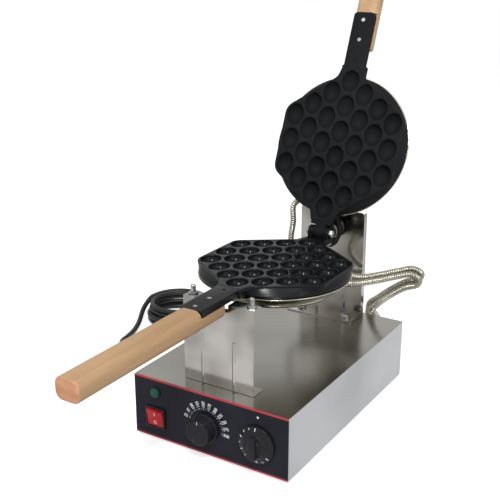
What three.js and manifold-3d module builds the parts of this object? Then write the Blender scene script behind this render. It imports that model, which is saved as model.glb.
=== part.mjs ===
// Bubble waffle maker: a steel base box with its controls, two sheet brackets, and a pair of
// cast egg moulds that open on a rear hinge and turn together on a shaft.
// Millimetres. +X is the right of the front panel, +Y the back, +Z up, and z = 0 is the worktop.
import * as THREE from 'three';
import { mergeVertices } from 'three/addons/utils/BufferGeometryUtils.js';
import Module from 'manifold-3d';

const manifold = await Module();
manifold.setup();

// Shared clearances
const seat_gap = 0.3;
const cut_overrun = 2;
const run_gap = 0.5;
const boss_gap = 1.5;
const lug_gap = 1;
const tongue_gap = 2;
const tongue_root_gap = 3;
const turning_clearance = 0.04;
const bore_sides = 20;
const hole_sides = 7;
const boss_sides = 10;

// Base box
const base_width = 250;
const base_depth = 370;
const base_height = 92;
const base_wall = 1.2;
const base_corner = 2.5;
const foot_height = 4;
const foot_radius = 9;
const foot_inset = 24;
const foot_stud_radius = 2.5;
const bottom_wall = 1.2;
const bottom_vent_length = 60;
const bottom_vent_width = 5;
const bottom_vent_pitch = 14;
const bottom_vent_rows = 4;

// Control panel
const fascia_wall = 1;
const dial_rise = 42;
const thermostat_x = -4;
const timer_inset = 47;
const lamp_inset = 37;
const lamp_rise = 71.5;
const lamp_radius = 7;
const lamp_bezel_radius = 8.4;
const lamp_bezel_wall = 1.6;
const lamp_body_radius = 6;
const lamp_body_length = 26;
const lens_height = 3.2;
const switch_inset = 36;
const switch_rise = 32.5;
const rocker_width = 27;
const rocker_height = 24.4;
const rocker_side_gap = 0.5;
const switch_rim = 2.8;
const switch_bezel_wall = 2.4;
const switch_body_depth = 24;
const rocker_throw = 8;
const rocker_pivot_depth = 3.5;
const rocker_end_depth = 4.5;
const rocker_dish = 1;
const rocker_back = 6;

// Knobs
const thermostat_knob_radius = 19.5;
const thermostat_knob_height = 20;
const thermostat_foot_radius = 21.5;
const thermostat_foot_height = 4;
const timer_skirt_radius = 27;
const timer_skirt_height = 7;
const timer_hub_radius = 16.5;
const timer_knob_height = 16;
const timer_bar_width = 9;
const knob_standoff = 0.8;
const knob_flutes = 10;
const flute_radius = 2;
const flute_sides = 6;
const pointer_width = 2;
const pointer_depth = 0.8;
const shaft_radius = 3;

// Control units inside the base
const thermostat_unit_radius = 20;
const thermostat_unit_depth = 26;
const timer_unit_width = 44;
const timer_unit_height = 40;
const timer_unit_depth = 32;
const unit_neck_radius = 4.8;
const terminal_length = 72;
const terminal_depth = 20;
const terminal_height = 16;
const terminal_poles = 4;

// Moulds: the pattern of cells and the cast plate
const cell_pitch = 40.5;
const column_pitch = 28.2;
const cell_half_width = 14.6;
const cell_half_length = 17.2;
const cell_depth = 14;
const longest_column = 6;
const side_columns = 3;
const cell_rim = 2.6;
const axis_above_base = 138;
const parting_gap = 0.8;
const block_rise = 9;
const block_half_width = 103.5;
const block_side_half_length = 52;
const block_tip_reach = 109;
const block_tip_half_width = 21;
const block_edge = 1.2;
const pan_lip = 2;
const pan_wall = 7;
const pan_round = 3;
const pan_back_step = 15;
const pan_back_wall = 2;
const pan_sides = 32;

// Mould arms, hinge and lid
const arm_half_width = 17.5;
const arm_wall = 11;
const arm_reach = 212;
const arm_corner = 7;
const arm_root_half_width = 26;
const arm_edge = 1;
const arm_step = 0.2;
const hinge_gap = 28;
const hinge_setback = 41;
const hinge_rise = 6;
const hinge_pin_radius = 4;
const knuckle_radius = 9.5;
const tongue_half_width = 9;
const ear_wall = 8;
const lid_angle = 113;
const pin_head_radius = 6.5;
const pin_head_wall = 4.5;

// Wooden handles
const wood_width = 36;
const wood_height = 29;
const wood_corner = 11;
const wood_edge = 2.5;
const wood_end_reach = 437;
const wood_start_reach = 157;
const rivet_radius = 2.2;
const rivet_head_radius = 3.3;
const rivet_head_height = 1.6;
const outer_rivet_reach = 200;
const inner_rivet_reach = 168;
const root_dimple_reach = 134;
const root_dimple_radius = 3;
const root_dimple_depth = 1;

// Spun covers and what they hold
const cover_overlap = 1;
const cover_wall = 1;
const cover_lip = 3;
const cover_drop = 22;
const heater_radius = 58;
const heater_tube_radius = 4.2;
const heater_turn_degrees = 300;
const cover_stud_radius = 3;
const cover_nut_radius = 6.5;
const cover_nut_height = 4.5;

// Front bracket
const front_clearance = 38.5;
const front_half_width = 56;
const front_height = 124;
const front_wall = 1.6;
const front_foot_depth = 24;
const front_top_depth = 20;
const notch_half_width = 16.5;
const notch_depth = 8;
const notch_corner = 5;
const rib_x = 25;
const rib_height = 70;
const rib_radius = 3;
const rib_proud = 2;
const rest_pin_x = 46.7;
const rest_pin_setback = 11;
const rest_pin_radius = 3.6;
const rest_pin_height = 13;
const foot_screw_x = 40;
const foot_screw_radius = 3;
const foot_screw_head_radius = 5.5;
const foot_screw_head_height = 2.6;

// Rear column
const column_setback = 13;
const column_half_width = 56;
const column_height = 172;
const column_wall = 1.8;
const column_return = 10;
const column_corner = 6;
const column_foot_depth = 41;
const column_bolt_x = 40;
const column_bolt_setback = 22;
const column_bolt_radius = 4;
const column_bolt_head_radius = 7.5;
const column_bolt_head_height = 5.3;
const column_slot_width = 15;
const column_slot_height = 11;
const column_slot_x = 46;

// Turning shaft and its bearing
const turn_shaft_radius = 10;
const bearing_radius = 17;
const bearing_wall = 9;
const bearing_ear_radius = 8;
const bearing_bolt_reach = 21;
const bearing_bolt_radius = 3;
const bearing_bolt_head_radius = 5;
const bearing_bolt_head_height = 3.6;
const collar_radius = 15;
const collar_wall = 4;
const shaft_nut_radius = 14.5;
const shaft_nut_wall = 9;
const shaft_washer_radius = 15.2;
const shaft_washer_wall = 2;
const shaft_tail = 6;

// Small sizes that belong to pieces above
const foot_round = 1.2;
const lamp_stem_radius = 4.6;
const lamp_stem_length = 8;
const lens_shoulder_share = 0.8;
const switch_body_wall = 1.2;
const switch_corner = 2.4;
const switch_edge = 0.8;
const rocker_trunnion_radius = 1.6;
const trunnion_sides = 12;
const knob_edge = 1.4;
const timer_skirt_rim = 3;
const timer_hub_height = 10;
const knob_crown = 5;
const spindle_depth = 16;
const boss_radius = 17;
const boss_wall = 8;
const ear_gap = 0.6;
const pin_tail = 4;
const cover_lip_inner_radius = 98;
const cover_shares = [[0.62, 1], [0.8, 0.93], [0.885, 0.5], [0.93, 0.06], [1, 0]];
const cover_boss_radius = 6.5;
const cover_screw_radius = 2.7;
const cover_screw_grip = 12;
const heater_steps = 18;
const block_corner = 12;
const arm_neck_reach = 118;
const flush_depth = 0.2;
const cell_sides = 8;
const cell_rings = 3;
const column_foot_flare = 2;
const bush_outer_radius = 12.4;
const bearing_flange_wall = 5.5;
const bearing_boss_radius = 15.2;
const bearing_taper = 0.6;
const rest_pin_tail = 8;
const rest_pin_nut_wall = 4;
const rest_pin_collar_wall = 3;
const bolt_tail = 3;
const dish_gland_reach_in = 13;
const cord_step_length = 22;

// Conduits, glands and supply cord
const conduit_radius = 5.2;
const conduit_valley = 4.5;
const conduit_bore = 2.8;
const conduit_rib_pitch = 10;
const conduit_sides = 6;
const conduit_step_longest = 5;
const conduit_bow = 1;
const gland_radius = 7;
const gland_neck_radius = 6;
const gland_bore_radius = 3.6;
const gland_length = 10;
const gland_hex_wall = 5;
const gland_lock_wall = 3;
const conduit_gland_x = 60;
const conduit_gland_spread = 32;
const conduit_gland_rise = 38;
const dish_gland_radius = 103;
const dish_gland_drop = 12;
const lower_gland_degrees = 6;
const upper_gland_degrees = 33;
const cord_radius = 4.4;
const cord_gland_x = -85;
const cord_gland_rise = 20;
const cord_gland_length = 14;
const cord_sides = 8;
const coil_x = -322;
const coil_y = 188;
const coil_outer_radius = 58;
const coil_inner_radius = 45.5;
const coil_layer_rise = 9.6;
const coil_layers = 4;
const coil_turns = 5.25;
const coil_steps_per_turn = 18;
const coil_sides = 6;
const plug_body_radius = 15;
const plug_body_length = 26;
const plug_tail_radius = 7;
const plug_tail_length = 14;
const plug_flange_radius = 18.5;
const plug_flange_wall = 7;
const plug_pin_radius = 2.4;
const plug_pin_length = 19;
const plug_pin_spread = 19;

const bottom_z = foot_height;
const base_top = foot_height + base_height;
const axis_z = base_top + axis_above_base;
const front_face_y = -base_depth / 2;
const back_face_y = base_depth / 2;
const pan_radius = block_tip_reach + pan_lip;
const pan_back_radius = pan_radius - pan_back_step;
const cover_radius = pan_radius + cover_overlap;
const hinge_reach = cover_radius + hinge_gap;
const column_y = back_face_y - column_setback;
const hinge_y = column_y - hinge_setback;
const mould_y = hinge_y - hinge_reach;
const front_y = mould_y - pan_radius - front_clearance;
const timer_x = base_width / 2 - timer_inset;
const lamp_x = lamp_inset - base_width / 2;
const switch_x = switch_inset - base_width / 2;
const dial_z = bottom_z + dial_rise;
const lamp_z = bottom_z + lamp_rise;
const switch_z = bottom_z + switch_rise;

const finish = {
  steel: { color: 0xb4b2a8, roughness: 0.32, metalness: 0.9 },
  polished: { color: 0xc6c4bc, roughness: 0.2, metalness: 1 },
  zinc: { color: 0xc0c2c0, roughness: 0.35, metalness: 0.9 },
  casting: { color: 0x222426, roughness: 0.45, metalness: 0.3 },
  black: { color: 0x1c1d20, roughness: 0.4, metalness: 0 },
  panel: { color: 0x26262c, roughness: 0.35, metalness: 0 },
  red: { color: 0xb83c40, roughness: 0.4, metalness: 0 },
  rocker: { color: 0xcc1c24, roughness: 0.3, metalness: 0 },
  lens: { color: 0x14603c, roughness: 0.15, metalness: 0 },
  wood: { color: 0xc09a70, roughness: 0.65, metalness: 0 },
  rubber: { color: 0x1a1a1a, roughness: 0.9, metalness: 0 },
  element: { color: 0x6f6a64, roughness: 0.5, metalness: 0.8 },
  cream: { color: 0xd8d2c0, roughness: 0.6, metalness: 0 },
};

function bare(geometry) {
  const plain = geometry.clone();
  plain.deleteAttribute('normal');
  if (plain.getAttribute('uv')) plain.deleteAttribute('uv');
  return mergeVertices(plain, 1e-4);
}

function toSolid(geometry) {
  const plain = bare(geometry);
  return new manifold.Manifold(new manifold.Mesh({
    numProp: 3,
    vertProperties: new Float32Array(plain.getAttribute('position').array),
    triVerts: new Uint32Array(plain.getIndex().array),
  }));
}

function toGeometry(solid) {
  const mesh = solid.getMesh();
  const geometry = new THREE.BufferGeometry();
  geometry.setAttribute('position', new THREE.BufferAttribute(new Float32Array(mesh.vertProperties), 3));
  geometry.setIndex(new THREE.BufferAttribute(new Uint32Array(mesh.triVerts), 1));
  geometry.computeVertexNormals();
  return geometry;
}

function join(...pieces) {
  let whole = toSolid(pieces[0]);
  for (const piece of pieces.slice(1)) whole = whole.add(toSolid(piece));
  return toGeometry(whole);
}

function cut(body, ...tools) {
  let whole = toSolid(body);
  for (const tool of tools) whole = whole.subtract(toSolid(tool));
  return toGeometry(whole);
}

// A box between two corners
function slab(low, high) {
  const size = [0, 1, 2].map((axis) => high[axis] - low[axis]);
  const box = new THREE.BoxGeometry(size[0], size[1], size[2]);
  box.translate((low[0] + high[0]) / 2, (low[1] + high[1]) / 2, (low[2] + high[2]) / 2);
  return box;
}

// A cylinder along one axis, from a start point, over a signed length
function drum(radius, length, axis, start, sides = bore_sides, end_radius = radius) {
  const rod = new THREE.CylinderGeometry(end_radius, radius, Math.abs(length), sides);
  rod.translate(0, Math.abs(length) / 2, 0);
  const sense = Math.sign(length);
  if (axis === 'x') rod.rotateZ(-sense * Math.PI / 2);
  if (axis === 'y' && sense < 0) rod.rotateX(Math.PI);
  if (axis === 'z') rod.rotateX(sense * Math.PI / 2);
  rod.translate(start[0], start[1], start[2]);
  return rod;
}

// A cutter that clears a rod of this radius all round
function hole(radius, length, axis, start, sides = hole_sides) {
  return drum((radius + seat_gap) / Math.cos(Math.PI / sides), length, axis, start, sides);
}

// A profile of radius and height turned about the Z axis
function turned(profile, sides, place = [0, 0, 0]) {
  const outline = profile.map((point) => new THREE.Vector2(point[0], point[1]));
  outline.push(outline[0].clone());
  const body = new THREE.LatheGeometry(outline, sides);
  body.rotateX(Math.PI / 2);
  body.translate(place[0], place[1], place[2]);
  return body;
}

// The same, with its axis turned to point out of the front panel, along -Y
function turnedForward(profile, sides, place) {
  const body = turned(profile, sides);
  body.rotateX(Math.PI / 2);
  body.translate(place[0], place[1], place[2]);
  return body;
}

function outlineShape(points) {
  return new THREE.Shape(points.map((point) => new THREE.Vector2(point[0], point[1])));
}

function roundedRectangle(half_width, half_length, corner) {
  const shape = new THREE.Shape();
  shape.moveTo(half_width - corner, -half_length);
  shape.absarc(half_width - corner, -half_length + corner, corner, -Math.PI / 2, 0, false);
  shape.absarc(half_width - corner, half_length - corner, corner, 0, Math.PI / 2, false);
  shape.absarc(-half_width + corner, half_length - corner, corner, Math.PI / 2, Math.PI, false);
  shape.absarc(-half_width + corner, -half_length + corner, corner, Math.PI, Math.PI * 1.5, false);
  return shape;
}

// An outline in the XY plane raised along Z
function raise(shape, low_z, height, curve_steps = 6, edge = 0) {
  const options = { depth: height, curveSegments: curve_steps, bevelEnabled: false };
  if (edge > 0) {
    options.depth = height - 2 * edge;
    options.bevelEnabled = true;
    options.bevelThickness = edge;
    options.bevelSize = edge;
    options.bevelOffset = -edge;
    options.bevelSegments = 1;
  }
  const body = new THREE.ExtrudeGeometry(shape, options);
  body.translate(0, 0, low_z + edge);
  return body;
}

// An outline of Y and Z run along X, from one X to another
function runAcross(shape, low_x, high_x, curve_steps = 6) {
  const body = new THREE.ExtrudeGeometry(shape, {
    depth: high_x - low_x, curveSegments: curve_steps, bevelEnabled: false,
  });
  body.rotateZ(Math.PI / 2);
  body.rotateY(Math.PI / 2);
  body.translate(low_x, 0, 0);
  return body;
}

function part(name, geometry, look) {
  const clean = bare(geometry);
  clean.computeVertexNormals();
  const mesh = new THREE.Mesh(clean, new THREE.MeshStandardMaterial(look));
  mesh.name = name;
  return mesh;
}

// Derived places
const half_width = base_width / 2;
const shell_front_y = front_face_y + fascia_wall + seat_gap;
const shell_inner_y = shell_front_y + base_wall;
const panel_stack = fascia_wall + seat_gap + base_wall;
const plate_top_z = bottom_z + bottom_wall;
const under_top_z = base_top - base_wall;
const hinge_z = hinge_rise;
const boss_front_y = hinge_y + knuckle_radius + boss_gap;
const boss_back_y = boss_front_y + boss_wall;
const lug_front_y = hinge_y - knuckle_radius - lug_gap;
const cover_floor = -(block_rise + pan_wall + seat_gap + cover_wall + cover_drop);
const foot_places = [-1, 1].flatMap((side) => [-1, 1].map((end) => [
  side * (half_width - foot_inset), end * (base_depth / 2 - foot_inset),
]));

function boreRadius(rod_radius, sides) {
  return (rod_radius + turning_clearance) / Math.cos(Math.PI / sides);
}

function planBetween(low_x, low_y, high_x, high_y, corner) {
  const shape = new THREE.Shape();
  shape.absarc(high_x - corner, low_y + corner, corner, -Math.PI / 2, 0, false);
  shape.absarc(high_x - corner, high_y - corner, corner, 0, Math.PI / 2, false);
  shape.absarc(low_x + corner, high_y - corner, corner, Math.PI / 2, Math.PI, false);
  shape.absarc(low_x + corner, low_y + corner, corner, Math.PI, Math.PI * 1.5, false);
  return shape;
}

// A hexagon head or nut along one axis
function hexagon(radius, length, axis, start) {
  return drum(radius, length, axis, start, 6);
}

// A dome standing on the start point, along +Z
function domed(radius, height, start, sides = hole_sides) {
  const rings = 2;
  const profile = [[0, 0]];
  for (let step = 0; step <= rings; step += 1) {
    const turn = (step / rings) * Math.PI / 2;
    profile.push([step === rings ? 0 : radius * Math.cos(turn), height * Math.sin(turn)]);
  }
  return turned(profile.slice(0, -1).concat([[0, height]]), sides, start);
}

function mirrorUp(geometry) {
  const other = geometry.clone();
  other.scale(1, 1, -1);
  const index = Array.from(other.getIndex().array);
  for (let corner = 0; corner < index.length; corner += 3) {
    [index[corner + 1], index[corner + 2]] = [index[corner + 2], index[corner + 1]];
  }
  other.setIndex(index);
  return other;
}

function moved(geometry, x, y, z) {
  const other = geometry.clone();
  other.translate(x, y, z);
  return other;
}

// Base box: a folded shell open below, with ledges that carry the bottom plate
function baseShell() {
  const outside = raise(
    planBetween(-half_width, shell_front_y, half_width, back_face_y, base_corner), bottom_z, base_height, 2);
  const inside = raise(
    planBetween(-half_width + base_wall, shell_inner_y, half_width - base_wall,
      back_face_y - base_wall, base_corner - base_wall),
    bottom_z - cut_overrun, base_height - base_wall + cut_overrun, 1);
  const holes = [
    panelHole(thermostat_x, dial_z, unit_neck_radius),
    panelHole(timer_x, dial_z, unit_neck_radius),
    panelHole(lamp_x, lamp_z, lamp_body_radius),
    switchOpening(),
  ];
  for (const place of backGlands()) {
    holes.push(hole(place.radius, base_wall + cut_overrun * 2, 'y',
      [place.x, back_face_y - base_wall - cut_overrun, place.z], hole_sides));
  }
  for (const place of topScrews()) {
    holes.push(hole(place.radius, base_wall + cut_overrun * 2, 'z',
      [place.x, place.y, under_top_z - cut_overrun], hole_sides));
  }
  const shell = cut(outside, inside, ...holes);
  const tabs = foot_places.map((place) => {
    const wall_x = Math.sign(place[0]) * (half_width - base_wall / 2);
    const tab_x = place[0] - Math.sign(place[0]) * foot_radius;
    const low_y = place[1] < 0 ? shell_front_y + base_wall / 2 : place[1] - foot_radius;
    const high_y = place[1] < 0 ? place[1] + foot_radius : back_face_y - base_wall / 2;
    const tab = slab([Math.min(wall_x, tab_x), low_y, plate_top_z + seat_gap],
      [Math.max(wall_x, tab_x), high_y, plate_top_z + seat_gap + base_wall]);
    return cut(tab, hole(foot_stud_radius, base_wall + cut_overrun * 2, 'z',
      [place[0], place[1], plate_top_z - cut_overrun + seat_gap], hole_sides));
  });
  return join(shell, ...tabs);
}

function panelHole(x, z, radius) {
  return hole(radius, panel_stack + cut_overrun * 2, 'y', [x, front_face_y - cut_overrun, z], boss_sides);
}

function rockerSweep() {
  return Math.hypot(rocker_height / 2, rocker_end_depth) + seat_gap;
}

function switchOpening() {
  const across = rocker_width / 2 + rocker_side_gap + switch_body_wall + seat_gap;
  const up = rockerSweep() + switch_body_wall + seat_gap;
  return slab([switch_x - across, front_face_y - cut_overrun, switch_z - up],
    [switch_x + across, front_face_y + panel_stack + cut_overrun, switch_z + up]);
}

function backGlands() {
  return [
    { x: conduit_gland_x - conduit_gland_spread / 2, z: bottom_z + conduit_gland_rise,
      radius: gland_neck_radius },
    { x: conduit_gland_x + conduit_gland_spread / 2, z: bottom_z + conduit_gland_rise,
      radius: gland_neck_radius },
    { x: cord_gland_x, z: bottom_z + cord_gland_rise, radius: gland_neck_radius },
  ];
}

function bracketScrewPlaces() {
  const y = front_y + front_foot_depth / 2 + front_wall;
  return [-1, 1].map((side) => ({ x: side * foot_screw_x, y, radius: foot_screw_radius }));
}

function columnBoltPlaces() {
  const y = column_y - column_bolt_setback;
  return [-1, 1].map((side) => ({ x: side * column_bolt_x, y, radius: column_bolt_radius }));
}

function topScrews() {
  return [...bracketScrewPlaces(), ...columnBoltPlaces()];
}

function bottomPlate() {
  const edge = base_wall + seat_gap;
  const sheet = raise(
    planBetween(-half_width + edge, shell_inner_y + seat_gap, half_width - edge,
      back_face_y - edge, base_corner - base_wall), bottom_z, bottom_wall, 1);
  const tools = [];
  for (const side of [-1, 1]) {
    for (let row = 0; row < bottom_vent_rows; row += 1) {
      const y = (row - (bottom_vent_rows - 1) / 2) * bottom_vent_pitch;
      const x = side * base_width / 4;
      tools.push(slab([x - bottom_vent_length / 2, y - bottom_vent_width / 2, bottom_z - cut_overrun],
        [x + bottom_vent_length / 2, y + bottom_vent_width / 2, plate_top_z + cut_overrun]));
    }
  }
  for (const place of foot_places) {
    tools.push(hole(foot_stud_radius, bottom_wall + cut_overrun * 2, 'z',
      [place[0], place[1], bottom_z - cut_overrun], hole_sides));
  }
  return cut(sheet, ...tools);
}

// A foot whose barbed stud holds the bottom plate to a corner tab of the shell
function rubberFoot(place) {
  const top_z = bottom_z - seat_gap;
  const barb_z = plate_top_z + seat_gap + base_wall + seat_gap;
  return turned([
    [0, 0],
    [foot_radius - foot_round, 0],
    [foot_radius, top_z],
    [foot_stud_radius, top_z],
    [foot_stud_radius, barb_z],
    [foot_stud_radius + foot_round, barb_z],
    [0, barb_z + foot_round * 2],
  ], boss_sides, [place[0], place[1], 0]);
}

function controlPanel() {
  const sheet = slab([-half_width, front_face_y, bottom_z],
    [half_width, front_face_y + fascia_wall, base_top]);
  return cut(sheet,
    panelHole(thermostat_x, dial_z, unit_neck_radius),
    panelHole(timer_x, dial_z, unit_neck_radius),
    panelHole(lamp_x, lamp_z, lamp_body_radius),
    switchOpening());
}

function lampBezel() {
  const back_y = front_face_y - seat_gap;
  return cut(turnedForward([
    [0, -lamp_body_length],
    [lamp_body_radius, -lamp_body_length],
    [lamp_body_radius, seat_gap],
    [lamp_bezel_radius, seat_gap],
    [lamp_bezel_radius, lamp_bezel_wall],
    [lamp_body_radius, lamp_bezel_wall + seat_gap],
    [0, lamp_bezel_wall + seat_gap],
  ], boss_sides, [lamp_x, front_face_y, lamp_z]),
  hole(lamp_stem_radius, lamp_stem_length + cut_overrun, 'y',
    [lamp_x, back_y - lamp_bezel_wall - cut_overrun, lamp_z], hole_sides));
}

function lampLens() {
  const seat = lamp_bezel_wall + seat_gap * 2;
  return turnedForward([
    [0, seat - lamp_stem_length / 2],
    [lamp_stem_radius, seat - lamp_stem_length / 2],
    [lamp_stem_radius, seat],
    [lamp_radius, seat],
    [lamp_radius * lens_shoulder_share, seat + lens_height * lens_shoulder_share],
    [0, seat + lens_height],
  ], boss_sides, [lamp_x, front_face_y, lamp_z]);
}

// Power switch: a framed housing with a rocker on trunnions
const rocker_pivot_y = front_face_y - seat_gap - switch_bezel_wall + rocker_pivot_depth;

function switchHousing() {
  const open_x = rocker_width / 2 + rocker_side_gap;
  const open_z = rockerSweep();
  const face_y = front_face_y - seat_gap - switch_bezel_wall;
  const body_back_y = face_y + switch_bezel_wall + switch_body_depth;
  const frame = raise(roundedRectangle(open_x + switch_rim, open_z + switch_rim, switch_corner),
    0, switch_bezel_wall, 3, switch_edge);
  frame.rotateX(Math.PI / 2);
  frame.translate(switch_x, face_y + switch_bezel_wall, switch_z);
  const wall = switch_body_wall;
  const body = slab([switch_x - open_x - wall, face_y + switch_edge, switch_z - open_z - wall],
    [switch_x + open_x + wall, body_back_y, switch_z + open_z + wall]);
  const cavity = slab([switch_x - open_x, face_y - cut_overrun, switch_z - open_z],
    [switch_x + open_x, body_back_y - wall, switch_z + open_z]);
  const trunnion = drum(boreRadius(rocker_trunnion_radius, trunnion_sides),
    (open_x + wall + cut_overrun) * 2, 'x',
    [switch_x - open_x - wall - cut_overrun, rocker_pivot_y, switch_z], trunnion_sides);
  return cut(join(frame, body), cavity, trunnion);
}

function switchRocker() {
  const reach = rocker_height / 2;
  const sweep = Math.hypot(reach, rocker_end_depth);
  const start = Math.atan2(reach, -rocker_end_depth);
  const shape = new THREE.Shape();
  shape.moveTo(-rocker_end_depth, -reach);
  shape.lineTo(-rocker_end_depth + rocker_dish, 0);
  shape.lineTo(-rocker_end_depth, reach);
  shape.absarc(0, 0, sweep, start, Math.atan2(reach, rocker_back), true);
  shape.lineTo(rocker_back, -reach);
  shape.absarc(0, 0, sweep, -Math.atan2(reach, rocker_back), -start, true);
  const body = runAcross(shape, -rocker_width / 2, rocker_width / 2, 3);
  const side = rocker_width / 2 + rocker_side_gap + switch_body_wall - seat_gap;
  return join(body, drum(rocker_trunnion_radius, side * 2, 'x', [-side, 0, 0], trunnion_sides));
}

// Dials, modelled about an axis that points forward
function thermostatKnob() {
  const body = turned([
    [0, 0],
    [thermostat_foot_radius, 0],
    [thermostat_foot_radius, thermostat_foot_height],
    [thermostat_knob_radius, thermostat_foot_height],
    [thermostat_knob_radius - knob_edge, thermostat_knob_height - knob_edge],
    [thermostat_knob_radius - knob_edge * 2, thermostat_knob_height],
    [thermostat_knob_radius - knob_edge * 3, thermostat_knob_height],
    [thermostat_knob_radius - knob_edge * 4, thermostat_knob_height - pointer_depth],
    [0, thermostat_knob_height - pointer_depth],
  ], bore_sides);
  const tools = [knobBore(thermostat_knob_height)];
  for (let flute = 0; flute < knob_flutes; flute += 1) {
    const turn = (flute / knob_flutes) * Math.PI * 2;
    tools.push(drum(flute_radius, thermostat_knob_height, 'z', [
      (thermostat_knob_radius + flute_radius / 2) * Math.cos(turn),
      (thermostat_knob_radius + flute_radius / 2) * Math.sin(turn),
      thermostat_foot_height,
    ], flute_sides));
  }
  tools.push(slab([-pointer_width / 2, thermostat_knob_radius / 2,
    thermostat_knob_height - pointer_depth * 2],
    [pointer_width / 2, thermostat_knob_radius + cut_overrun, thermostat_knob_height + cut_overrun]));
  return cut(body, ...tools);
}

function timerKnob() {
  const skirt = turned([
    [0, 0],
    [timer_skirt_radius, 0],
    [timer_skirt_radius, timer_skirt_rim],
    [timer_skirt_radius - knob_edge, timer_skirt_rim + knob_edge / 2],
    [timer_hub_radius + knob_edge, timer_skirt_height],
    [timer_hub_radius, timer_skirt_height + knob_edge],
    [timer_hub_radius - knob_edge, timer_hub_height],
    [0, timer_hub_height],
  ], bore_sides);
  const bar = raise(roundedRectangle(timer_bar_width / 2, timer_hub_radius, timer_bar_width / 2 - seat_gap),
    timer_skirt_height, timer_knob_height - timer_skirt_height, 2, knob_edge / 2);
  const mark = slab([-pointer_width / 2, timer_hub_radius / 2, timer_knob_height - pointer_depth],
    [pointer_width / 2, timer_hub_radius + cut_overrun, timer_knob_height + cut_overrun]);
  return cut(join(skirt, bar), knobBore(timer_knob_height), mark);
}

function knobBore(height) {
  return hole(shaft_radius, height - knob_crown + cut_overrun, 'z', [0, 0, -cut_overrun], boss_sides);
}

function spindle(height) {
  const depth = spindle_depth;
  return drum(shaft_radius, depth + height - knob_crown - seat_gap + knob_standoff, 'z',
    [0, 0, -knob_standoff - depth], trunnion_sides);
}

function spindleBore() {
  return drum(boreRadius(shaft_radius, trunnion_sides), spindle_depth + run_gap + cut_overrun, 'z',
    [0, 0, -spindle_depth - run_gap], trunnion_sides);
}

function thermostatUnit() {
  const back = panel_stack + seat_gap;
  return cut(turned([
    [0, -back - thermostat_unit_depth],
    [thermostat_unit_radius, -back - thermostat_unit_depth],
    [thermostat_unit_radius, -back],
    [unit_neck_radius, -back],
    [unit_neck_radius, 0],
    [0, 0],
  ], boss_sides), spindleBore());
}

function timerUnit() {
  const back = panel_stack + seat_gap;
  const box = slab([-timer_unit_width / 2, -timer_unit_height / 2, -back - timer_unit_depth],
    [timer_unit_width / 2, timer_unit_height / 2, -back]);
  return cut(join(box, drum(unit_neck_radius, back + cut_overrun, 'z', [0, 0, -back - cut_overrun],
    boss_sides)), spindleBore());
}

function terminalBlock() {
  const low_z = plate_top_z + seat_gap;
  const block = slab([-terminal_length / 2, -terminal_depth / 2, low_z],
    [terminal_length / 2, terminal_depth / 2, low_z + terminal_height]);
  const pitch = terminal_length / terminal_poles;
  const tools = [];
  for (let pole = 0; pole < terminal_poles; pole += 1) {
    const x = (pole - (terminal_poles - 1) / 2) * pitch;
    tools.push(slab([x - pitch / 2 + base_wall, -terminal_depth, low_z + terminal_height / 3],
      [x + pitch / 2 - base_wall, -terminal_depth / 4, low_z + terminal_height * 2]));
    tools.push(slab([x - pitch / 2 + base_wall, terminal_depth / 4, low_z + terminal_height / 3],
      [x + pitch / 2 - base_wall, terminal_depth, low_z + terminal_height * 2]));
  }
  return cut(block, ...tools);
}

// Front bracket: one sheet with a foot, a folded top, two pressed ribs and a notch for the turning arms
function frontBracket() {
  const z = base_top + seat_gap;
  const shape = new THREE.Shape();
  const back_y = front_y + front_wall;
  const top_z = base_top + front_height;
  shape.moveTo(front_y, z);
  shape.lineTo(front_y + front_foot_depth, z);
  shape.lineTo(front_y + front_foot_depth, z + front_wall);
  shape.lineTo(back_y, z + front_wall);
  shape.lineTo(back_y, top_z - front_wall);
  shape.lineTo(front_y + front_top_depth, top_z - front_wall);
  shape.lineTo(front_y + front_top_depth, top_z);
  shape.lineTo(front_y, top_z);
  const sheet = runAcross(shape, -front_half_width, front_half_width);
  const notch = raise(roundedRectangle(notch_half_width, front_top_depth + cut_overrun, notch_corner), 0,
    notch_depth + cut_overrun, 2);
  notch.translate(0, front_y, top_z - notch_depth);
  const tools = [notch];
  for (const side of [-1, 1]) {
    tools.push(hole(rest_pin_radius, front_wall + cut_overrun * 2, 'z',
      [side * rest_pin_x, front_y + rest_pin_setback, top_z - front_wall - cut_overrun], hole_sides));
    tools.push(hole(foot_screw_radius, front_wall + cut_overrun * 2, 'z',
      [side * foot_screw_x, front_y + front_foot_depth / 2 + front_wall, z - cut_overrun], hole_sides));
  }
  const ribs = [-1, 1].map((side) => pressedRib(side * rib_x, front_y, z + front_wall, rib_height, -1));
  return join(cut(sheet, ...tools), ...ribs);
}

// A half-round rib standing out of a sheet's face, towards -Y or +Y
function pressedRib(x, face_y, low_z, height, sense) {
  const rod = drum(rib_radius, height, 'z', [x, face_y - sense * (rib_radius - rib_proud), low_z],
    hole_sides);
  const keep = slab([x - rib_radius * 2, Math.min(face_y, face_y + sense * rib_radius * 2),
    low_z - cut_overrun],
    [x + rib_radius * 2, Math.max(face_y, face_y + sense * rib_radius * 2), low_z + height + cut_overrun]);
  const inner = slab([x - rib_radius / 2, face_y - front_wall / 2, low_z + rib_radius],
    [x + rib_radius / 2, face_y + front_wall / 2, low_z + height - rib_radius]);
  return join(toGeometry(toSolid(rod).intersect(toSolid(keep))), inner);
}

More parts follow.
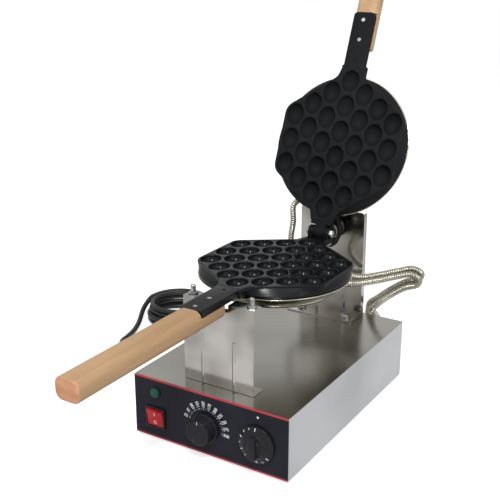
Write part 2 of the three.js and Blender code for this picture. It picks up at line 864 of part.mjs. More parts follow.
function restPin(side) {
  const top_z = base_top + front_height;
  const y = front_y + rest_pin_setback;
  const x = side * rest_pin_x;
  const shank = turned([
    [0, top_z - front_wall - rest_pin_tail],
    [rest_pin_radius, top_z - front_wall - rest_pin_tail],
    [rest_pin_radius, top_z + rest_pin_height - rest_pin_radius],
    [rest_pin_radius * lens_shoulder_share, top_z + rest_pin_height - rest_pin_radius / 3],
    [0, top_z + rest_pin_height],
  ], hole_sides, [x, y, 0]);
  const nut = hexagon(rest_pin_radius * 2, -rest_pin_nut_wall, 'z', [x, y, top_z - front_wall - seat_gap]);
  const collar = hexagon(rest_pin_radius * 2, rest_pin_collar_wall, 'z', [x, y, top_z + seat_gap]);
  return join(shank, nut, collar);
}

// A screw down through a foot and the box top, with its nut below
function topBolt(place, head_radius, head_height, foot_wall) {
  const seat = base_top + seat_gap + foot_wall + seat_gap;
  const nut_z = under_top_z - seat_gap;
  return join(
    drum(place.radius, seat - nut_z + bolt_tail + head_height / 2, 'z',
      [place.x, place.y, nut_z - bolt_tail], hole_sides),
    hexagon(head_radius, head_height, 'z', [place.x, place.y, seat]),
    hexagon(head_radius, -head_height, 'z', [place.x, place.y, nut_z]));
}

// Rear column: a web with side returns, a foot folded forward and two pressed ribs
function rearColumn() {
  const z = base_top + seat_gap;
  const half = column_half_width;
  const back_y = column_y + column_wall;
  const plan = outlineShape([
    [-half, column_y], [half, column_y], [half, column_y + column_return],
    [half - column_wall, column_y + column_return], [half - column_wall, back_y],
    [-half + column_wall, back_y], [-half + column_wall, column_y + column_return],
    [-half, column_y + column_return],
  ]);
  const upright = raise(plan, z, column_height - seat_gap);
  const foot = raise(
    planBetween(-half - column_foot_flare, column_y - column_foot_depth, half + column_foot_flare,
      back_y, column_wall), z, column_wall, 3);
  const face = raise(planBetween(-half, -column_height, half, column_height, column_corner), 0,
    column_return * 2, 3);
  face.rotateX(Math.PI / 2);
  face.translate(0, column_y + column_return * 2, base_top);
  const tools = [hole(bush_outer_radius, column_wall + cut_overrun * 2, 'y',
    [0, column_y - cut_overrun, axis_z], bore_sides)];
  for (const side of [-1, 1]) {
    tools.push(hole(column_bolt_radius, column_wall + cut_overrun * 2, 'z',
      [side * column_bolt_x, column_y - column_bolt_setback, z - cut_overrun], hole_sides));
    tools.push(hole(bearing_bolt_radius, column_wall + cut_overrun * 2, 'y',
      [0, column_y - cut_overrun, axis_z + side * bearing_bolt_reach], hole_sides));
  }
  const ribs = [-1, 1].map((side) => pressedRib(side * rib_x, column_y, z + column_wall * 3,
    rib_height, -1));
  const trimmed = toGeometry(toSolid(upright).intersect(toSolid(face)));
  return join(cut(join(trimmed, foot), ...tools), ...ribs);
}

// Flange bearing on the column's face
function bearingHousing() {
  const back_y = column_y - seat_gap;
  const flange = new THREE.Shape();
  const lean = Math.acos((bearing_radius - bearing_ear_radius) / bearing_bolt_reach);
  flange.absarc(0, bearing_bolt_reach, bearing_ear_radius, Math.PI / 2 - lean, Math.PI / 2 + lean, false);
  flange.absarc(0, 0, bearing_radius, Math.PI / 2 + lean, Math.PI * 1.5 - lean, false);
  flange.absarc(0, -bearing_bolt_reach, bearing_ear_radius, Math.PI * 1.5 - lean, Math.PI * 1.5 + lean,
    false);
  flange.absarc(0, 0, bearing_radius, Math.PI * 1.5 + lean, Math.PI * 2.5 - lean, false);
  const ears = raise(flange, 0, bearing_flange_wall, 4);
  ears.rotateX(Math.PI / 2);
  ears.translate(0, back_y, axis_z);
  const boss = drum(bearing_boss_radius, -bearing_wall, 'y', [0, back_y, axis_z], bore_sides,
    bearing_boss_radius - bearing_taper);
  const tools = [hole(bush_outer_radius, -(bearing_wall + cut_overrun * 2), 'y',
    [0, back_y + cut_overrun, axis_z], bore_sides)];
  for (const side of [-1, 1]) {
    tools.push(hole(bearing_bolt_radius, -(bearing_flange_wall + cut_overrun * 2), 'y',
      [0, back_y + cut_overrun, axis_z + side * bearing_bolt_reach], hole_sides));
  }
  return cut(join(ears, boss), ...tools);
}

function bearingBolt(side) {
  const head_y = column_y - seat_gap - bearing_flange_wall - seat_gap;
  const nut_y = column_y + column_wall + seat_gap;
  const z = axis_z + side * bearing_bolt_reach;
  const shank_start = head_y - bearing_bolt_head_height / 2;
  return join(
    drum(bearing_bolt_radius, nut_y - shank_start + bearing_bolt_head_height + bolt_tail, 'y',
      [0, shank_start, z], hole_sides),
    hexagon(bearing_bolt_head_radius, -bearing_bolt_head_height, 'y', [0, head_y, z]),
    hexagon(bearing_bolt_head_radius, bearing_bolt_head_height, 'y', [0, nut_y, z]));
}

function bearingBush() {
  const front = column_y - seat_gap - bearing_wall;
  const length = bearing_wall + seat_gap + column_wall;
  return cut(drum(bush_outer_radius, length, 'y', [0, front, axis_z], bore_sides),
    drum(boreRadius(turn_shaft_radius, bore_sides), length + cut_overrun * 2, 'y',
      [0, front - cut_overrun, axis_z], bore_sides));
}

// The pieces that turn on the shaft are modelled about the shaft's axis, which lies in the parting plane
function turningShaft() {
  const start_y = boss_front_y + boss_gap;
  const collar_back = column_y - seat_gap - bearing_wall - run_gap;
  const nut_start_y = column_y + column_wall + run_gap + shaft_washer_wall + seat_gap;
  const end_y = nut_start_y + shaft_nut_wall + shaft_tail;
  const body = turned([
    [0, start_y],
    [turn_shaft_radius, start_y],
    [turn_shaft_radius, collar_back - collar_wall],
    [collar_radius, collar_back - collar_wall],
    [collar_radius, collar_back],
    [turn_shaft_radius, collar_back],
    [turn_shaft_radius, end_y - shaft_tail / 3],
    [turn_shaft_radius - shaft_tail / 3, end_y],
    [0, end_y],
  ], bore_sides);
  body.rotateX(-Math.PI / 2);
  return body;
}

function shaftWasher() {
  const start = column_y + column_wall + run_gap;
  return cut(drum(shaft_washer_radius, shaft_washer_wall, 'y', [0, start, 0], bore_sides),
    hole(turn_shaft_radius, shaft_washer_wall + cut_overrun * 2, 'y', [0, start - cut_overrun, 0],
      bore_sides));
}

function shaftNut() {
  const start = column_y + column_wall + run_gap + shaft_washer_wall + seat_gap;
  return cut(hexagon(shaft_nut_radius, shaft_nut_wall, 'y', [0, start, 0]),
    hole(turn_shaft_radius, shaft_nut_wall + cut_overrun * 2, 'y', [0, start - cut_overrun, 0], bore_sides));
}

// One cast mould, face up: a six-sided block of egg cells on a round pan, with an arm at the front
function cellCentres() {
  const centres = [];
  for (let column = -side_columns; column <= side_columns; column += 1) {
    const count = longest_column - Math.abs(column);
    for (let row = 0; row < count; row += 1) {
      centres.push([column * column_pitch, mould_y + (row - (count - 1) / 2) * cell_pitch]);
    }
  }
  return centres;
}

// Half an egg of unit size, carried on a little past its rim so that it cuts through the face
function unitEgg() {
  const profile = [[0, -1]];
  for (let ring = 1; ring < cell_rings; ring += 1) {
    const turn = (ring / cell_rings) * Math.PI / 2;
    profile.push([Math.sin(turn), -Math.cos(turn)]);
  }
  const last = profile[profile.length - 1];
  const past_share = 0.2;
  profile.push([1 + (1 - last[0]) * past_share / -last[1], past_share]);
  profile.push([0, past_share]);
  return turned(profile, cell_sides);
}

function cellCutters(face_z) {
  let all = null;
  for (const centre of cellCentres()) {
    const egg = unitEgg();
    egg.scale(cell_half_width, cell_half_length, cell_depth);
    egg.translate(centre[0], centre[1], face_z);
    const solid = toSolid(egg);
    all = all ? all.add(solid) : solid;
  }
  return all;
}

function blockOutline() {
  const corners = [
    [-block_half_width, -block_side_half_length], [-block_tip_half_width, -block_tip_reach],
    [block_tip_half_width, -block_tip_reach], [block_half_width, -block_side_half_length],
    [block_half_width, block_side_half_length], [block_tip_half_width, block_tip_reach],
    [-block_tip_half_width, block_tip_reach], [-block_half_width, block_side_half_length],
  ];
  return filleted(corners.map((corner) => [corner[0], corner[1] + mould_y]), block_corner);
}

// A closed outline with each corner rounded by a curve that starts one corner length away
function filleted(corners, round) {
  const shape = new THREE.Shape();
  corners.forEach((corner, step) => {
    const before = corners[(step + corners.length - 1) % corners.length];
    const after = corners[(step + 1) % corners.length];
    const entry = towards(corner, before, round);
    const exit = towards(corner, after, round);
    if (step === 0) shape.moveTo(entry[0], entry[1]);
    else shape.lineTo(entry[0], entry[1]);
    shape.quadraticCurveTo(corner[0], corner[1], exit[0], exit[1]);
  });
  return shape;
}

function towards(from, to, distance) {
  const length = Math.hypot(to[0] - from[0], to[1] - from[1]);
  return [from[0] + (to[0] - from[0]) * distance / length, from[1] + (to[1] - from[1]) * distance / length];
}

function panProfile() {
  const top = -block_rise;
  const low = top - pan_wall;
  return [
    [0, low - pan_back_wall],
    [pan_back_radius, low - pan_back_wall],
    [pan_back_radius, low],
    [pan_radius, low],
    [pan_radius, top - pan_round],
    [pan_radius - pan_round, top],
    [0, top],
  ];
}

function castBlock() {
  const face = -parting_gap / 2;
  const block = raise(blockOutline(), -block_rise - block_edge * 2, block_rise + block_edge * 2 + face,
    2, block_edge);
  const pan = turned(panProfile(), pan_sides, [0, mould_y, 0]);
  const arm = filleted([
    [-arm_root_half_width, mould_y - pan_back_radius], [-arm_half_width, mould_y - arm_neck_reach],
    [-arm_half_width, mould_y - arm_reach], [arm_half_width, mould_y - arm_reach],
    [arm_half_width, mould_y - arm_neck_reach], [arm_root_half_width, mould_y - pan_back_radius],
  ], arm_corner);
  const boss = drum(cover_boss_radius, -(coverInnerDepth() - panBackDepth() - seat_gap + block_edge), 'z',
    [0, mould_y, -panBackDepth() + block_edge], boss_sides);
  return join(block, pan, raise(arm, -arm_wall, arm_wall + face - arm_step, 2, arm_edge), boss);
}

function panBackDepth() {
  return block_rise + pan_wall + pan_back_wall;
}

function coverInnerDepth() {
  return -cover_floor - cover_wall;
}

function castTools() {
  return [
    hole(cover_screw_radius, cover_screw_grip + cut_overrun, 'z',
      [0, mould_y, cover_floor - cut_overrun], hole_sides),
    rivetBody(outer_rivet_reach, seat_gap),
    rivetBody(inner_rivet_reach, seat_gap),
    drum(root_dimple_radius, root_dimple_depth + cut_overrun, 'z',
      [0, mould_y - root_dimple_reach, -parting_gap / 2 - root_dimple_depth], hole_sides),
  ];
}

// A rivet with its countersunk head flush in the arm's face
function rivetBody(reach, gap) {
  const top = -parting_gap / 2 - flush_depth + gap;
  return turned([
    [0, -arm_wall - cut_overrun - wood_height],
    [rivet_radius + gap, -arm_wall - cut_overrun - wood_height],
    [rivet_radius + gap, top - rivet_head_height - gap],
    [rivet_head_radius + gap, top - gap],
    [rivet_head_radius + gap, top + (gap > 0 ? cut_overrun : 0)],
    [0, top + (gap > 0 ? cut_overrun : 0)],
  ], hole_sides, [0, mould_y - reach, 0]);
}

// Lower mould: the casting with two hinge ears and a round boss for the shaft
function lowerMould() {
  const face = -parting_gap / 2;
  const lug = slab([-arm_half_width, mould_y + pan_back_radius, -arm_wall],
    [arm_half_width, boss_back_y, face - arm_step]);
  const ears = [-1, 1].map((side) => {
    const inner = side * (tongue_half_width + ear_gap);
    const outer = side * arm_half_width;
    const low_x = Math.min(inner, outer);
    const high_x = Math.max(inner, outer);
    return join(
      drum(knuckle_radius, high_x - low_x, 'x', [low_x, hinge_y, hinge_z], boss_sides),
      slab([low_x, hinge_y - knuckle_radius, -arm_wall], [high_x, hinge_y + knuckle_radius, hinge_z]));
  });
  const boss = drum(boss_radius, boss_wall, 'y', [0, boss_front_y, 0], bore_sides);
  const pocket = slab([-tongue_half_width - ear_gap, lug_front_y, -arm_wall - cut_overrun],
    [tongue_half_width + ear_gap, boss_front_y, knuckle_radius * 3]);
  const bore = hole(turn_shaft_radius, boss_wall + cut_overrun, 'y',
    [0, boss_front_y + boss_gap - seat_gap, 0], bore_sides);
  const pin = hole(hinge_pin_radius, arm_half_width * 4, 'x', [-arm_half_width * 2, hinge_y, hinge_z],
    boss_sides);
  const body = toSolid(join(castBlock(), lug, boss, ...ears)).subtract(cellCutters(face));
  return cut(toGeometry(body), pocket, bore, pin, ...castTools());
}

// Upper mould, modelled closed and face up like the lower one, with a tongue between the hinge ears
function upperMould() {
  const face = -parting_gap / 2;
  const centre_z = -hinge_z;
  const lug = slab([-arm_half_width, mould_y + pan_back_radius, -arm_wall],
    [arm_half_width, hinge_y - knuckle_radius - tongue_gap, face - arm_step]);
  const tongue = join(
    drum(knuckle_radius, tongue_half_width * 2, 'x', [-tongue_half_width, hinge_y, centre_z], boss_sides),
    slab([-tongue_half_width, hinge_y - knuckle_radius - tongue_root_gap, -arm_wall],
      [tongue_half_width, hinge_y, face - arm_step - arm_step]));
  const pin = drum(boreRadius(hinge_pin_radius, trunnion_sides), arm_half_width * 4, 'x',
    [-arm_half_width * 2, hinge_y, centre_z], trunnion_sides);
  const body = toSolid(join(castBlock(), lug, tongue)).subtract(cellCutters(face));
  return mirrorUp(cut(toGeometry(body), pin, ...castTools()));
}

function hingePin() {
  const half = arm_half_width;
  return join(
    drum(hinge_pin_radius, half * 2 + pin_head_wall + pin_tail, 'x',
      [-half - seat_gap - pin_head_wall / 2, hinge_y, hinge_z],
      trunnion_sides),
    hexagon(pin_head_radius, -pin_head_wall, 'x', [-half - seat_gap, hinge_y, hinge_z]),
    hexagon(pin_head_radius, pin_head_wall, 'x', [half + seat_gap, hinge_y, hinge_z]));
}

// Spun cover under a mould, face up
function mouldCover(gland_degrees, gland_side) {
  const lip_z = -block_rise - pan_wall - seat_gap;
  const outer = cover_shares.map((share) => [cover_radius * share[0],
    lip_z - cover_wall - cover_drop * share[1]]);
  const inner = cover_shares.slice(0, -1).map((share) => [
    cover_radius * share[0] - cover_wall * share[1], lip_z - cover_drop * share[1]]).reverse();
  const body = turned([
    [0, outer[0][1]], ...outer, [cover_radius, lip_z],
    [cover_lip_inner_radius, lip_z], ...inner, [0, inner[inner.length - 1][1]],
  ], pan_sides, [0, mould_y, 0]);
  const tools = [hole(cover_screw_radius, cover_wall + cut_overrun * 2, 'z',
    [0, mould_y, cover_floor - cut_overrun], hole_sides)];
  const gland = dishGlandPlace(gland_degrees, gland_side);
  const opening = hole(gland_neck_radius, dish_gland_reach_in + gland_length, 'y',
    [0, -dish_gland_reach_in - cut_overrun, 0], boss_sides);
  tools.push(alongRoute(opening, gland.start, gland.direction));
  return cut(body, ...tools);
}

// Where a conduit leaves a cover: level, away from the mould's centre
function dishGlandPlace(degrees, side) {
  const turn = THREE.MathUtils.degToRad(degrees);
  const direction = new THREE.Vector3(side * Math.sin(turn), Math.cos(turn), 0);
  const start = direction.clone().multiplyScalar(dish_gland_radius);
  start.y += mould_y;
  start.z = -block_rise - pan_wall - dish_gland_drop;
  return { start, direction };
}

// Puts a solid that is modelled about Y, centred on the origin, at a place and direction
function alongRoute(geometry, start, direction) {
  const turn = new THREE.Quaternion().setFromUnitVectors(new THREE.Vector3(0, 1, 0), direction);
  const other = geometry.clone();
  other.applyQuaternion(turn);
  other.translate(start.x, start.y, start.z);
  return other;
}

// A gland about Y: a bored neck that reaches in through the wall at y = 0, and a hexagon outside it
function glandBody(reach_in, bore_radius) {
  const neck = drum(gland_neck_radius, gland_length + reach_in, 'y', [0, -reach_in, 0], boss_sides);
  const nut = hexagon(gland_radius, gland_hex_wall, 'y', [0, seat_gap, 0]);
  const bore = drum(bore_radius, gland_length + reach_in + cut_overrun * 2, 'y',
    [0, -reach_in - cut_overrun, 0], hole_sides);
  return cut(join(neck, nut), bore);
}

// The same with a lock ring inside a thin wall
function wallGland(bore_radius) {
  const reach_in = base_wall + seat_gap + gland_lock_wall;
  const lock = cut(hexagon(gland_radius, gland_lock_wall, 'y', [0, -reach_in, 0]),
    drum(bore_radius, reach_in * 2, 'y', [0, -reach_in - cut_overrun, 0], hole_sides));
  return join(glandBody(reach_in, bore_radius), lock);
}

function dishGland(degrees, side) {
  const place = dishGlandPlace(degrees, side);
  const body = glandBody(dish_gland_reach_in, gland_bore_radius);
  return alongRoute(body, place.start, place.direction);
}

function backGland(place) {
  return moved(wallGland(gland_bore_radius), place.x, back_face_y, place.z);
}

function cordGland() {
  const place = backGlands()[2];
  const body = wallGland(cord_radius + seat_gap);
  const shank = turned([
    [cord_radius + seat_gap, gland_hex_wall + seat_gap * 2],
    [gland_neck_radius, gland_hex_wall + seat_gap * 2],
    [cord_radius + base_wall, gland_length + cord_gland_length],
    [cord_radius + seat_gap, gland_length + cord_gland_length],
  ], boss_sides);
  shank.rotateX(-Math.PI / 2);
  return moved(join(body, shank), place.x, back_face_y, place.z);
}

// Sheathed heating element: an open ring with its two ends turned down
function heatingElement() {
  const depth = panBackDepth() + seat_gap + heater_tube_radius;
  const start = THREE.MathUtils.degToRad(90 - heater_turn_degrees / 2 + 180);
  const points = [];
  for (let step = 0; step <= heater_steps; step += 1) {
    const turn = start + THREE.MathUtils.degToRad(heater_turn_degrees) * step / heater_steps;
    points.push(new THREE.Vector3(heater_radius * Math.cos(turn),
      mould_y + heater_radius * Math.sin(turn), -depth));
  }
  const path = new THREE.CatmullRomCurve3(points);
  return tubeAlong(path, heater_tube_radius, coil_sides, heater_steps);
}

function tubeAlong(path, radius, sides, steps) {
  const section = new THREE.Shape();
  for (let side = 0; side < sides; side += 1) {
    const turn = (side / sides) * Math.PI * 2;
    if (side === 0) section.moveTo(radius, 0);
    else section.lineTo(radius * Math.cos(turn), radius * Math.sin(turn));
  }
  return new THREE.ExtrudeGeometry(section, { steps, extrudePath: path, bevelEnabled: false });
}

function coverScrew() {
  const seat = cover_floor - seat_gap;
  return turned([
    [0, seat - cover_nut_height],
    [cover_nut_radius - base_wall, seat - cover_nut_height],
    [cover_nut_radius, seat - cover_nut_height + base_wall],
    [cover_nut_radius, seat],
    [cover_screw_radius, seat],
    [cover_screw_radius, cover_floor + cover_screw_grip - seat_gap],
    [0, cover_floor + cover_screw_grip - seat_gap],
  ], hole_sides, [0, mould_y, 0]);
}

// Wooden handle, face up: a rounded bar whose inner end is rebated under the arm
function woodenHandle() {
  const start = mould_y - wood_start_reach;
  const end = mould_y - wood_end_reach;
  const top = -parting_gap / 2 - seat_gap;
  const bar = raise(roundedRectangle(wood_width / 2, wood_height / 2, wood_corner), 0, start - end, 3,
    wood_edge);
  bar.rotateX(Math.PI / 2);
  bar.translate(0, start, top - wood_height / 2);
  const rebate = slab([-wood_width, mould_y - arm_reach - seat_gap, -arm_wall - seat_gap],
    [wood_width, start + cut_overrun, cut_overrun]);
  const tools = [outer_rivet_reach, inner_rivet_reach].map((reach) => hole(rivet_radius,
    wood_height * 2, 'z', [0, mould_y - reach, -wood_height * 2], hole_sides));
  return cut(bar, rebate, ...tools);
}

function handleRivet(reach) {
  const low = -parting_gap / 2 - seat_gap - wood_height - seat_gap;
  const keep = slab([-wood_width, mould_y - reach - wood_width, low],
    [wood_width, mould_y - reach + wood_width, 0]);
  const shank = toGeometry(toSolid(rivetBody(reach, 0)).intersect(toSolid(keep)));
  const head = mirrorUp(bare(domed(rivet_head_radius, rivet_head_height, [0, mould_y - reach, -low])));
  const stem = drum(rivet_radius, rivet_head_height, 'z',
    [0, mould_y - reach, low - rivet_head_height / 2], hole_sides);
  return join(shank, head, stem);
}

// A run of flexible conduit: ribs outside, a plain bore inside
function ribbedHose(points) {
  const path = new THREE.CatmullRomCurve3(points.map((point) => new THREE.Vector3(...point)), false,
    'centripetal');
  path.arcLengthDivisions = points.length * 40;
  const ribs = Math.round(path.getLength() / conduit_rib_pitch);
  const steps = ribs * 2;
  const frames = path.computeFrenetFrames(steps, false);
  const positions = [];
  const faces = [];
  function ring(step, radius) {
    const centre = path.getPointAt(step / steps);
    for (let side = 0; side < conduit_sides; side += 1) {
      const turn = (side / conduit_sides) * Math.PI * 2;
      const spot = centre.clone()
        .addScaledVector(frames.normals[step], radius * Math.cos(turn))
        .addScaledVector(frames.binormals[step], radius * Math.sin(turn));
      positions.push(spot.x, spot.y, spot.z);
    }
    return positions.length / 3 - conduit_sides;
  }
  function band(from, to) {
    for (let side = 0; side < conduit_sides; side += 1) {
      const next = (side + 1) % conduit_sides;
      faces.push(from + side, from + next, to + next, from + side, to + next, to + side);
    }
  }
  const outside = [];
  for (let step = 0; step <= steps; step += 1) {
    outside.push(ring(step, step % 2 === 1 ? conduit_radius : conduit_valley));
  }
  for (let step = 0; step < steps; step += 1) band(outside[step], outside[step + 1]);
  const inside = [ring(0, conduit_bore)];
  let last = 0;
  while (last < steps) {
    const next = boreStep(path, last, steps);
    inside.push(ring(next, conduit_bore));
    band(inside[inside.length - 1], inside[inside.length - 2]);
    last = next;
  }
  band(inside[0], outside[0]);
  band(outside[steps], inside[inside.length - 1]);
  const hose = new THREE.BufferGeometry();
  hose.setAttribute('position', new THREE.BufferAttribute(new Float32Array(positions), 3));
  hose.setIndex(faces);
  return hose;
}

// The next step with a ring in the bore: up to five ribs on, or fewer where the run bends
function boreStep(path, last, steps) {
  let reach = Math.min(conduit_step_longest * 2, steps - last);
  const from = path.getPointAt(last / steps);
  while (reach > 2) {
    const to = path.getPointAt((last + reach) / steps);
    const middle = path.getPointAt((last + reach / 2) / steps);
    if (from.clone().add(to).multiplyScalar(1 / 2).distanceTo(middle) < conduit_bow) break;
    reach -= 1;
  }
  return last + reach;
}

// Supply cord: two free runs and a coil between them
function coilPoint(turn_count) {
  const total = coil_turns;
  const per_layer = total / coil_layers;
  const layer = Math.min(coil_layers - 1, Math.floor(turn_count / per_layer));
  const within = turn_count / per_layer - layer;
  const share = layer % 2 === 0 ? within : 1 - within;
  const radius = coil_outer_radius + (coil_inner_radius - coil_outer_radius) * share;
  const climb_turns = 1 / 2;
  let rise = layer;
  const past = turn_count - layer * per_layer;
  const ahead = (layer + 1) * per_layer - turn_count;
  if (layer > 0 && past < climb_turns / 2) rise = layer - (1 / 2 - past / climb_turns);
  if (layer < coil_layers - 1 && ahead < climb_turns / 2) rise = layer + (1 / 2 - ahead / climb_turns);
  const turn = Math.PI / 2 + turn_count * Math.PI * 2;
  return new THREE.Vector3(coil_x + radius * Math.cos(turn), coil_y + radius * Math.sin(turn),
    cord_radius + rise * coil_layer_rise);
}

class CoilCurve extends THREE.Curve {
  getPoint(share) {
    return coilPoint(share * coil_turns);
  }
}

function coiledCord() {
  const path = new CoilCurve();
  const steps = Math.round(coil_turns * coil_steps_per_turn);
  path.arcLengthDivisions = steps * 4;
  let least = Infinity;
  const spots = path.getSpacedPoints(steps * 2);
  for (let one = 0; one < spots.length; one += 1) {
    for (let two = one + coil_steps_per_turn; two < spots.length; two += 1) {
      least = Math.min(least, spots[one].distanceTo(spots[two]));
    }
  }
  console.log(`least gap of the coil to itself: ${(least - cord_radius * 2).toFixed(2)} mm`);
  return tubeAlong(path, cord_radius, coil_sides, steps);
}

function cordRun(points) {
  const path = new THREE.CatmullRomCurve3(points.map((point) => new THREE.Vector3(...point)), false,
    'centripetal');
  path.arcLengthDivisions = points.length * 40;
  return tubeAlong(path, cord_radius, cord_sides, Math.round(path.getLength() / cord_step_length));
}

// Mains plug: a round body with a collar and two pins, modelled about Y with its cord end at y = 0
function powerPlug() {
  const back = plug_tail_length + plug_body_length;
  const body = turned([
    [0, 0], [plug_tail_radius, 0], [plug_tail_radius, plug_tail_length / 2],
    [plug_body_radius, plug_tail_length],
    [plug_body_radius, back], [plug_flange_radius, back], [plug_flange_radius, back + plug_flange_wall],
    [0, back + plug_flange_wall],
  ], boss_sides);
  body.rotateX(-Math.PI / 2);
  const pins = [-1, 1].map((side) => drum(plug_pin_radius, plug_pin_length + base_wall, 'y',
    [side * plug_pin_spread / 2, back + plug_flange_wall - base_wall, 0], hole_sides));
  return join(body, ...pins);
}

const machine = new THREE.Group();
machine.add(part('base_shell', baseShell(), finish.steel));
machine.add(part('bottom_plate', bottomPlate(), finish.zinc));
foot_places.forEach((place, count) => {
  machine.add(part(`rubber_foot_${count + 1}`, rubberFoot(place), finish.rubber));
});
machine.add(part('control_panel', controlPanel(), finish.panel));
machine.add(part('lamp_bezel', lampBezel(), finish.black));
machine.add(part('lamp_lens', lampLens(), finish.lens));
machine.add(part('switch_housing', switchHousing(), finish.black));
machine.add(part('terminal_block', terminalBlock(), finish.cream));

const rocker = part('switch_rocker', switchRocker(), finish.rocker);
rocker.position.set(switch_x, rocker_pivot_y, switch_z);
rocker.rotation.x = THREE.MathUtils.degToRad(rocker_throw);
machine.add(rocker);

const thermostat = new THREE.Group();
thermostat.position.set(thermostat_x, front_face_y, dial_z);
thermostat.rotation.x = Math.PI / 2;
thermostat.add(part('thermostat_unit', thermostatUnit(), finish.zinc));
thermostat.add(part('thermostat_knob', moved(thermostatKnob(), 0, 0, knob_standoff), finish.black));
thermostat.add(part('thermostat_spindle', moved(spindle(thermostat_knob_height), 0, 0, knob_standoff),
  finish.zinc));
machine.add(thermostat);

const timer = new THREE.Group();
timer.position.set(timer_x, front_face_y, dial_z);
timer.rotation.x = Math.PI / 2;
timer.add(part('timer_unit', timerUnit(), finish.cream));
timer.add(part('timer_knob', moved(timerKnob(), 0, 0, knob_standoff), finish.black));
timer.add(part('timer_spindle', moved(spindle(timer_knob_height), 0, 0, knob_standoff), finish.zinc));
machine.add(timer);

machine.add(part('front_bracket', frontBracket(), finish.polished));
machine.add(part('rear_column', rearColumn(), finish.polished));
machine.add(part('bearing_housing', bearingHousing(), finish.casting));
machine.add(part('bearing_bush', bearingBush(), finish.element));
['left', 'right'].forEach((name, count) => {
  const side = count * 2 - 1;
  machine.add(part(`rest_pin_${name}`, restPin(side), finish.zinc));
  machine.add(part(`front_bracket_screw_${name}`,
    topBolt(bracketScrewPlaces()[count], foot_screw_head_radius, foot_screw_head_height,
      front_wall), finish.zinc));
  machine.add(part(`column_bolt_${name}`,
    topBolt(columnBoltPlaces()[count], column_bolt_head_radius, column_bolt_head_height,
      column_wall), finish.zinc));
  machine.add(part(`conduit_gland_${name}`, backGland(backGlands()[count]), finish.zinc));
});
machine.add(part('bearing_bolt_upper', bearingBolt(1), finish.zinc));
machine.add(part('bearing_bolt_lower', bearingBolt(-1), finish.zinc));
machine.add(part('cord_gland', cordGland(), finish.rubber));

const turning = new THREE.Group();
turning.position.set(0, 0, axis_z);
turning.add(part('turning_shaft', turningShaft(), finish.zinc));
turning.add(part('shaft_washer', shaftWasher(), finish.zinc));
turning.add(part('shaft_nut', shaftNut(), finish.zinc));
turning.add(part('lower_mould', lowerMould(), finish.casting));
turning.add(part('hinge_pin', hingePin(), finish.zinc));
turning.add(part('lower_cover', mouldCover(lower_gland_degrees, 1), finish.polished));
turning.add(part('lower_cover_screw', coverScrew(), finish.zinc));
turning.add(part('lower_heating_element', heatingElement(), finish.element));
turning.add(part('lower_gland', dishGland(lower_gland_degrees, 1), finish.zinc));
turning.add(part('lower_handle', woodenHandle(), finish.wood));
turning.add(part('lower_outer_rivet', handleRivet(outer_rivet_reach), finish.zinc));
turning.add(part('lower_inner_rivet', handleRivet(inner_rivet_reach), finish.zinc));
machine.add(turning);

// The lid hangs on the hinge pin and is shown open
const lid = new THREE.Group();
lid.position.set(0, hinge_y, axis_z + hinge_z);
lid.rotation.x = -THREE.MathUtils.degToRad(lid_angle);
function lidPart(name, face_up, look) {
  return part(name, moved(face_up, 0, -hinge_y, -hinge_z), look);
}
lid.add(lidPart('upper_mould', upperMould(), finish.casting));
lid.add(lidPart('upper_cover', mirrorUp(bare(mouldCover(upper_gland_degrees, -1))), finish.polished));
lid.add(lidPart('upper_cover_screw', mirrorUp(bare(coverScrew())), finish.zinc));
lid.add(lidPart('upper_heating_element', mirrorUp(bare(heatingElement())), finish.element));
lid.add(lidPart('upper_gland', mirrorUp(bare(dishGland(upper_gland_degrees, -1))), finish.zinc));
lid.add(lidPart('upper_handle', mirrorUp(bare(woodenHandle())), finish.wood));
lid.add(lidPart('upper_outer_rivet', mirrorUp(bare(handleRivet(outer_rivet_reach))), finish.zinc));
lid.add(lidPart('upper_inner_rivet', mirrorUp(bare(handleRivet(inner_rivet_reach))), finish.zinc));
machine.add(lid);
machine.updateMatrixWorld(true);

// Both conduits start at the box's back and loop out to the right of the column
const lower_gland_place = dishGlandPlace(lower_gland_degrees, 1);
const lower_leave = lower_gland_place.direction;
const lower_exit = lower_gland_place.start.clone().addScaledVector(lower_leave, gland_length + seat_gap * 2);
lower_exit.z += axis_z;
const upper_gland_place = dishGlandPlace(upper_gland_degrees, -1);
const upper_leave = new THREE.Vector3(upper_gland_place.direction.x, upper_gland_place.direction.y, 0)
  .transformDirection(lid.matrixWorld);
const upper_exit = new THREE.Vector3(upper_gland_place.start.x, upper_gland_place.start.y - hinge_y,
  -upper_gland_place.start.z - hinge_z).applyMatrix4(lid.matrixWorld)
  .addScaledVector(upper_leave, gland_length + seat_gap * 2);
const back_exit = back_face_y + gland_length + seat_gap * 2;

function straightFrom(exit, leave, length) {
  const on = exit.clone().addScaledVector(leave, length);
  return [[exit.x, exit.y, exit.z], [on.x, on.y, on.z]];
}

function straightBack(place) {
  return [[place.x, back_exit + conduit_radius * 2, place.z], [place.x, back_exit, place.z]];
}

// Their free points are given from the middle of the box's upper back edge
const lower_free_points = [
  [18, -47, 94], [38, -40, 78], [62, -37, 75], [96, -31, 84], [124, -26, 94], [144, -22, 100],
  [156, -17, 94], [152, -12, 82], [130, -9, 72], [104, -5, 53], [78, 1, 30], [59, 16, 12],
  [50, 31, -10], [44, 37, -34],
];
const upper_free_points = [
  [-67, -21, 141], [-70, -22, 117], [-66, -28, 92], [-46, -38, 72], [-10, -44, 62], [30, -47, 62],
  [62, -48, 68], [96, -42, 78], [124, -36, 88], [145, -32, 94], [157, -27, 88], [153, -22, 76],
  [131, -19, 65], [105, -16, 45], [82, -11, 23], [69, 4, 7], [71, 21, -12], [76, 31, -36],
];
function fromBackEdge(points) {
  return points.map((point) => [point[0], back_face_y + point[1], base_top + point[2]]);
}

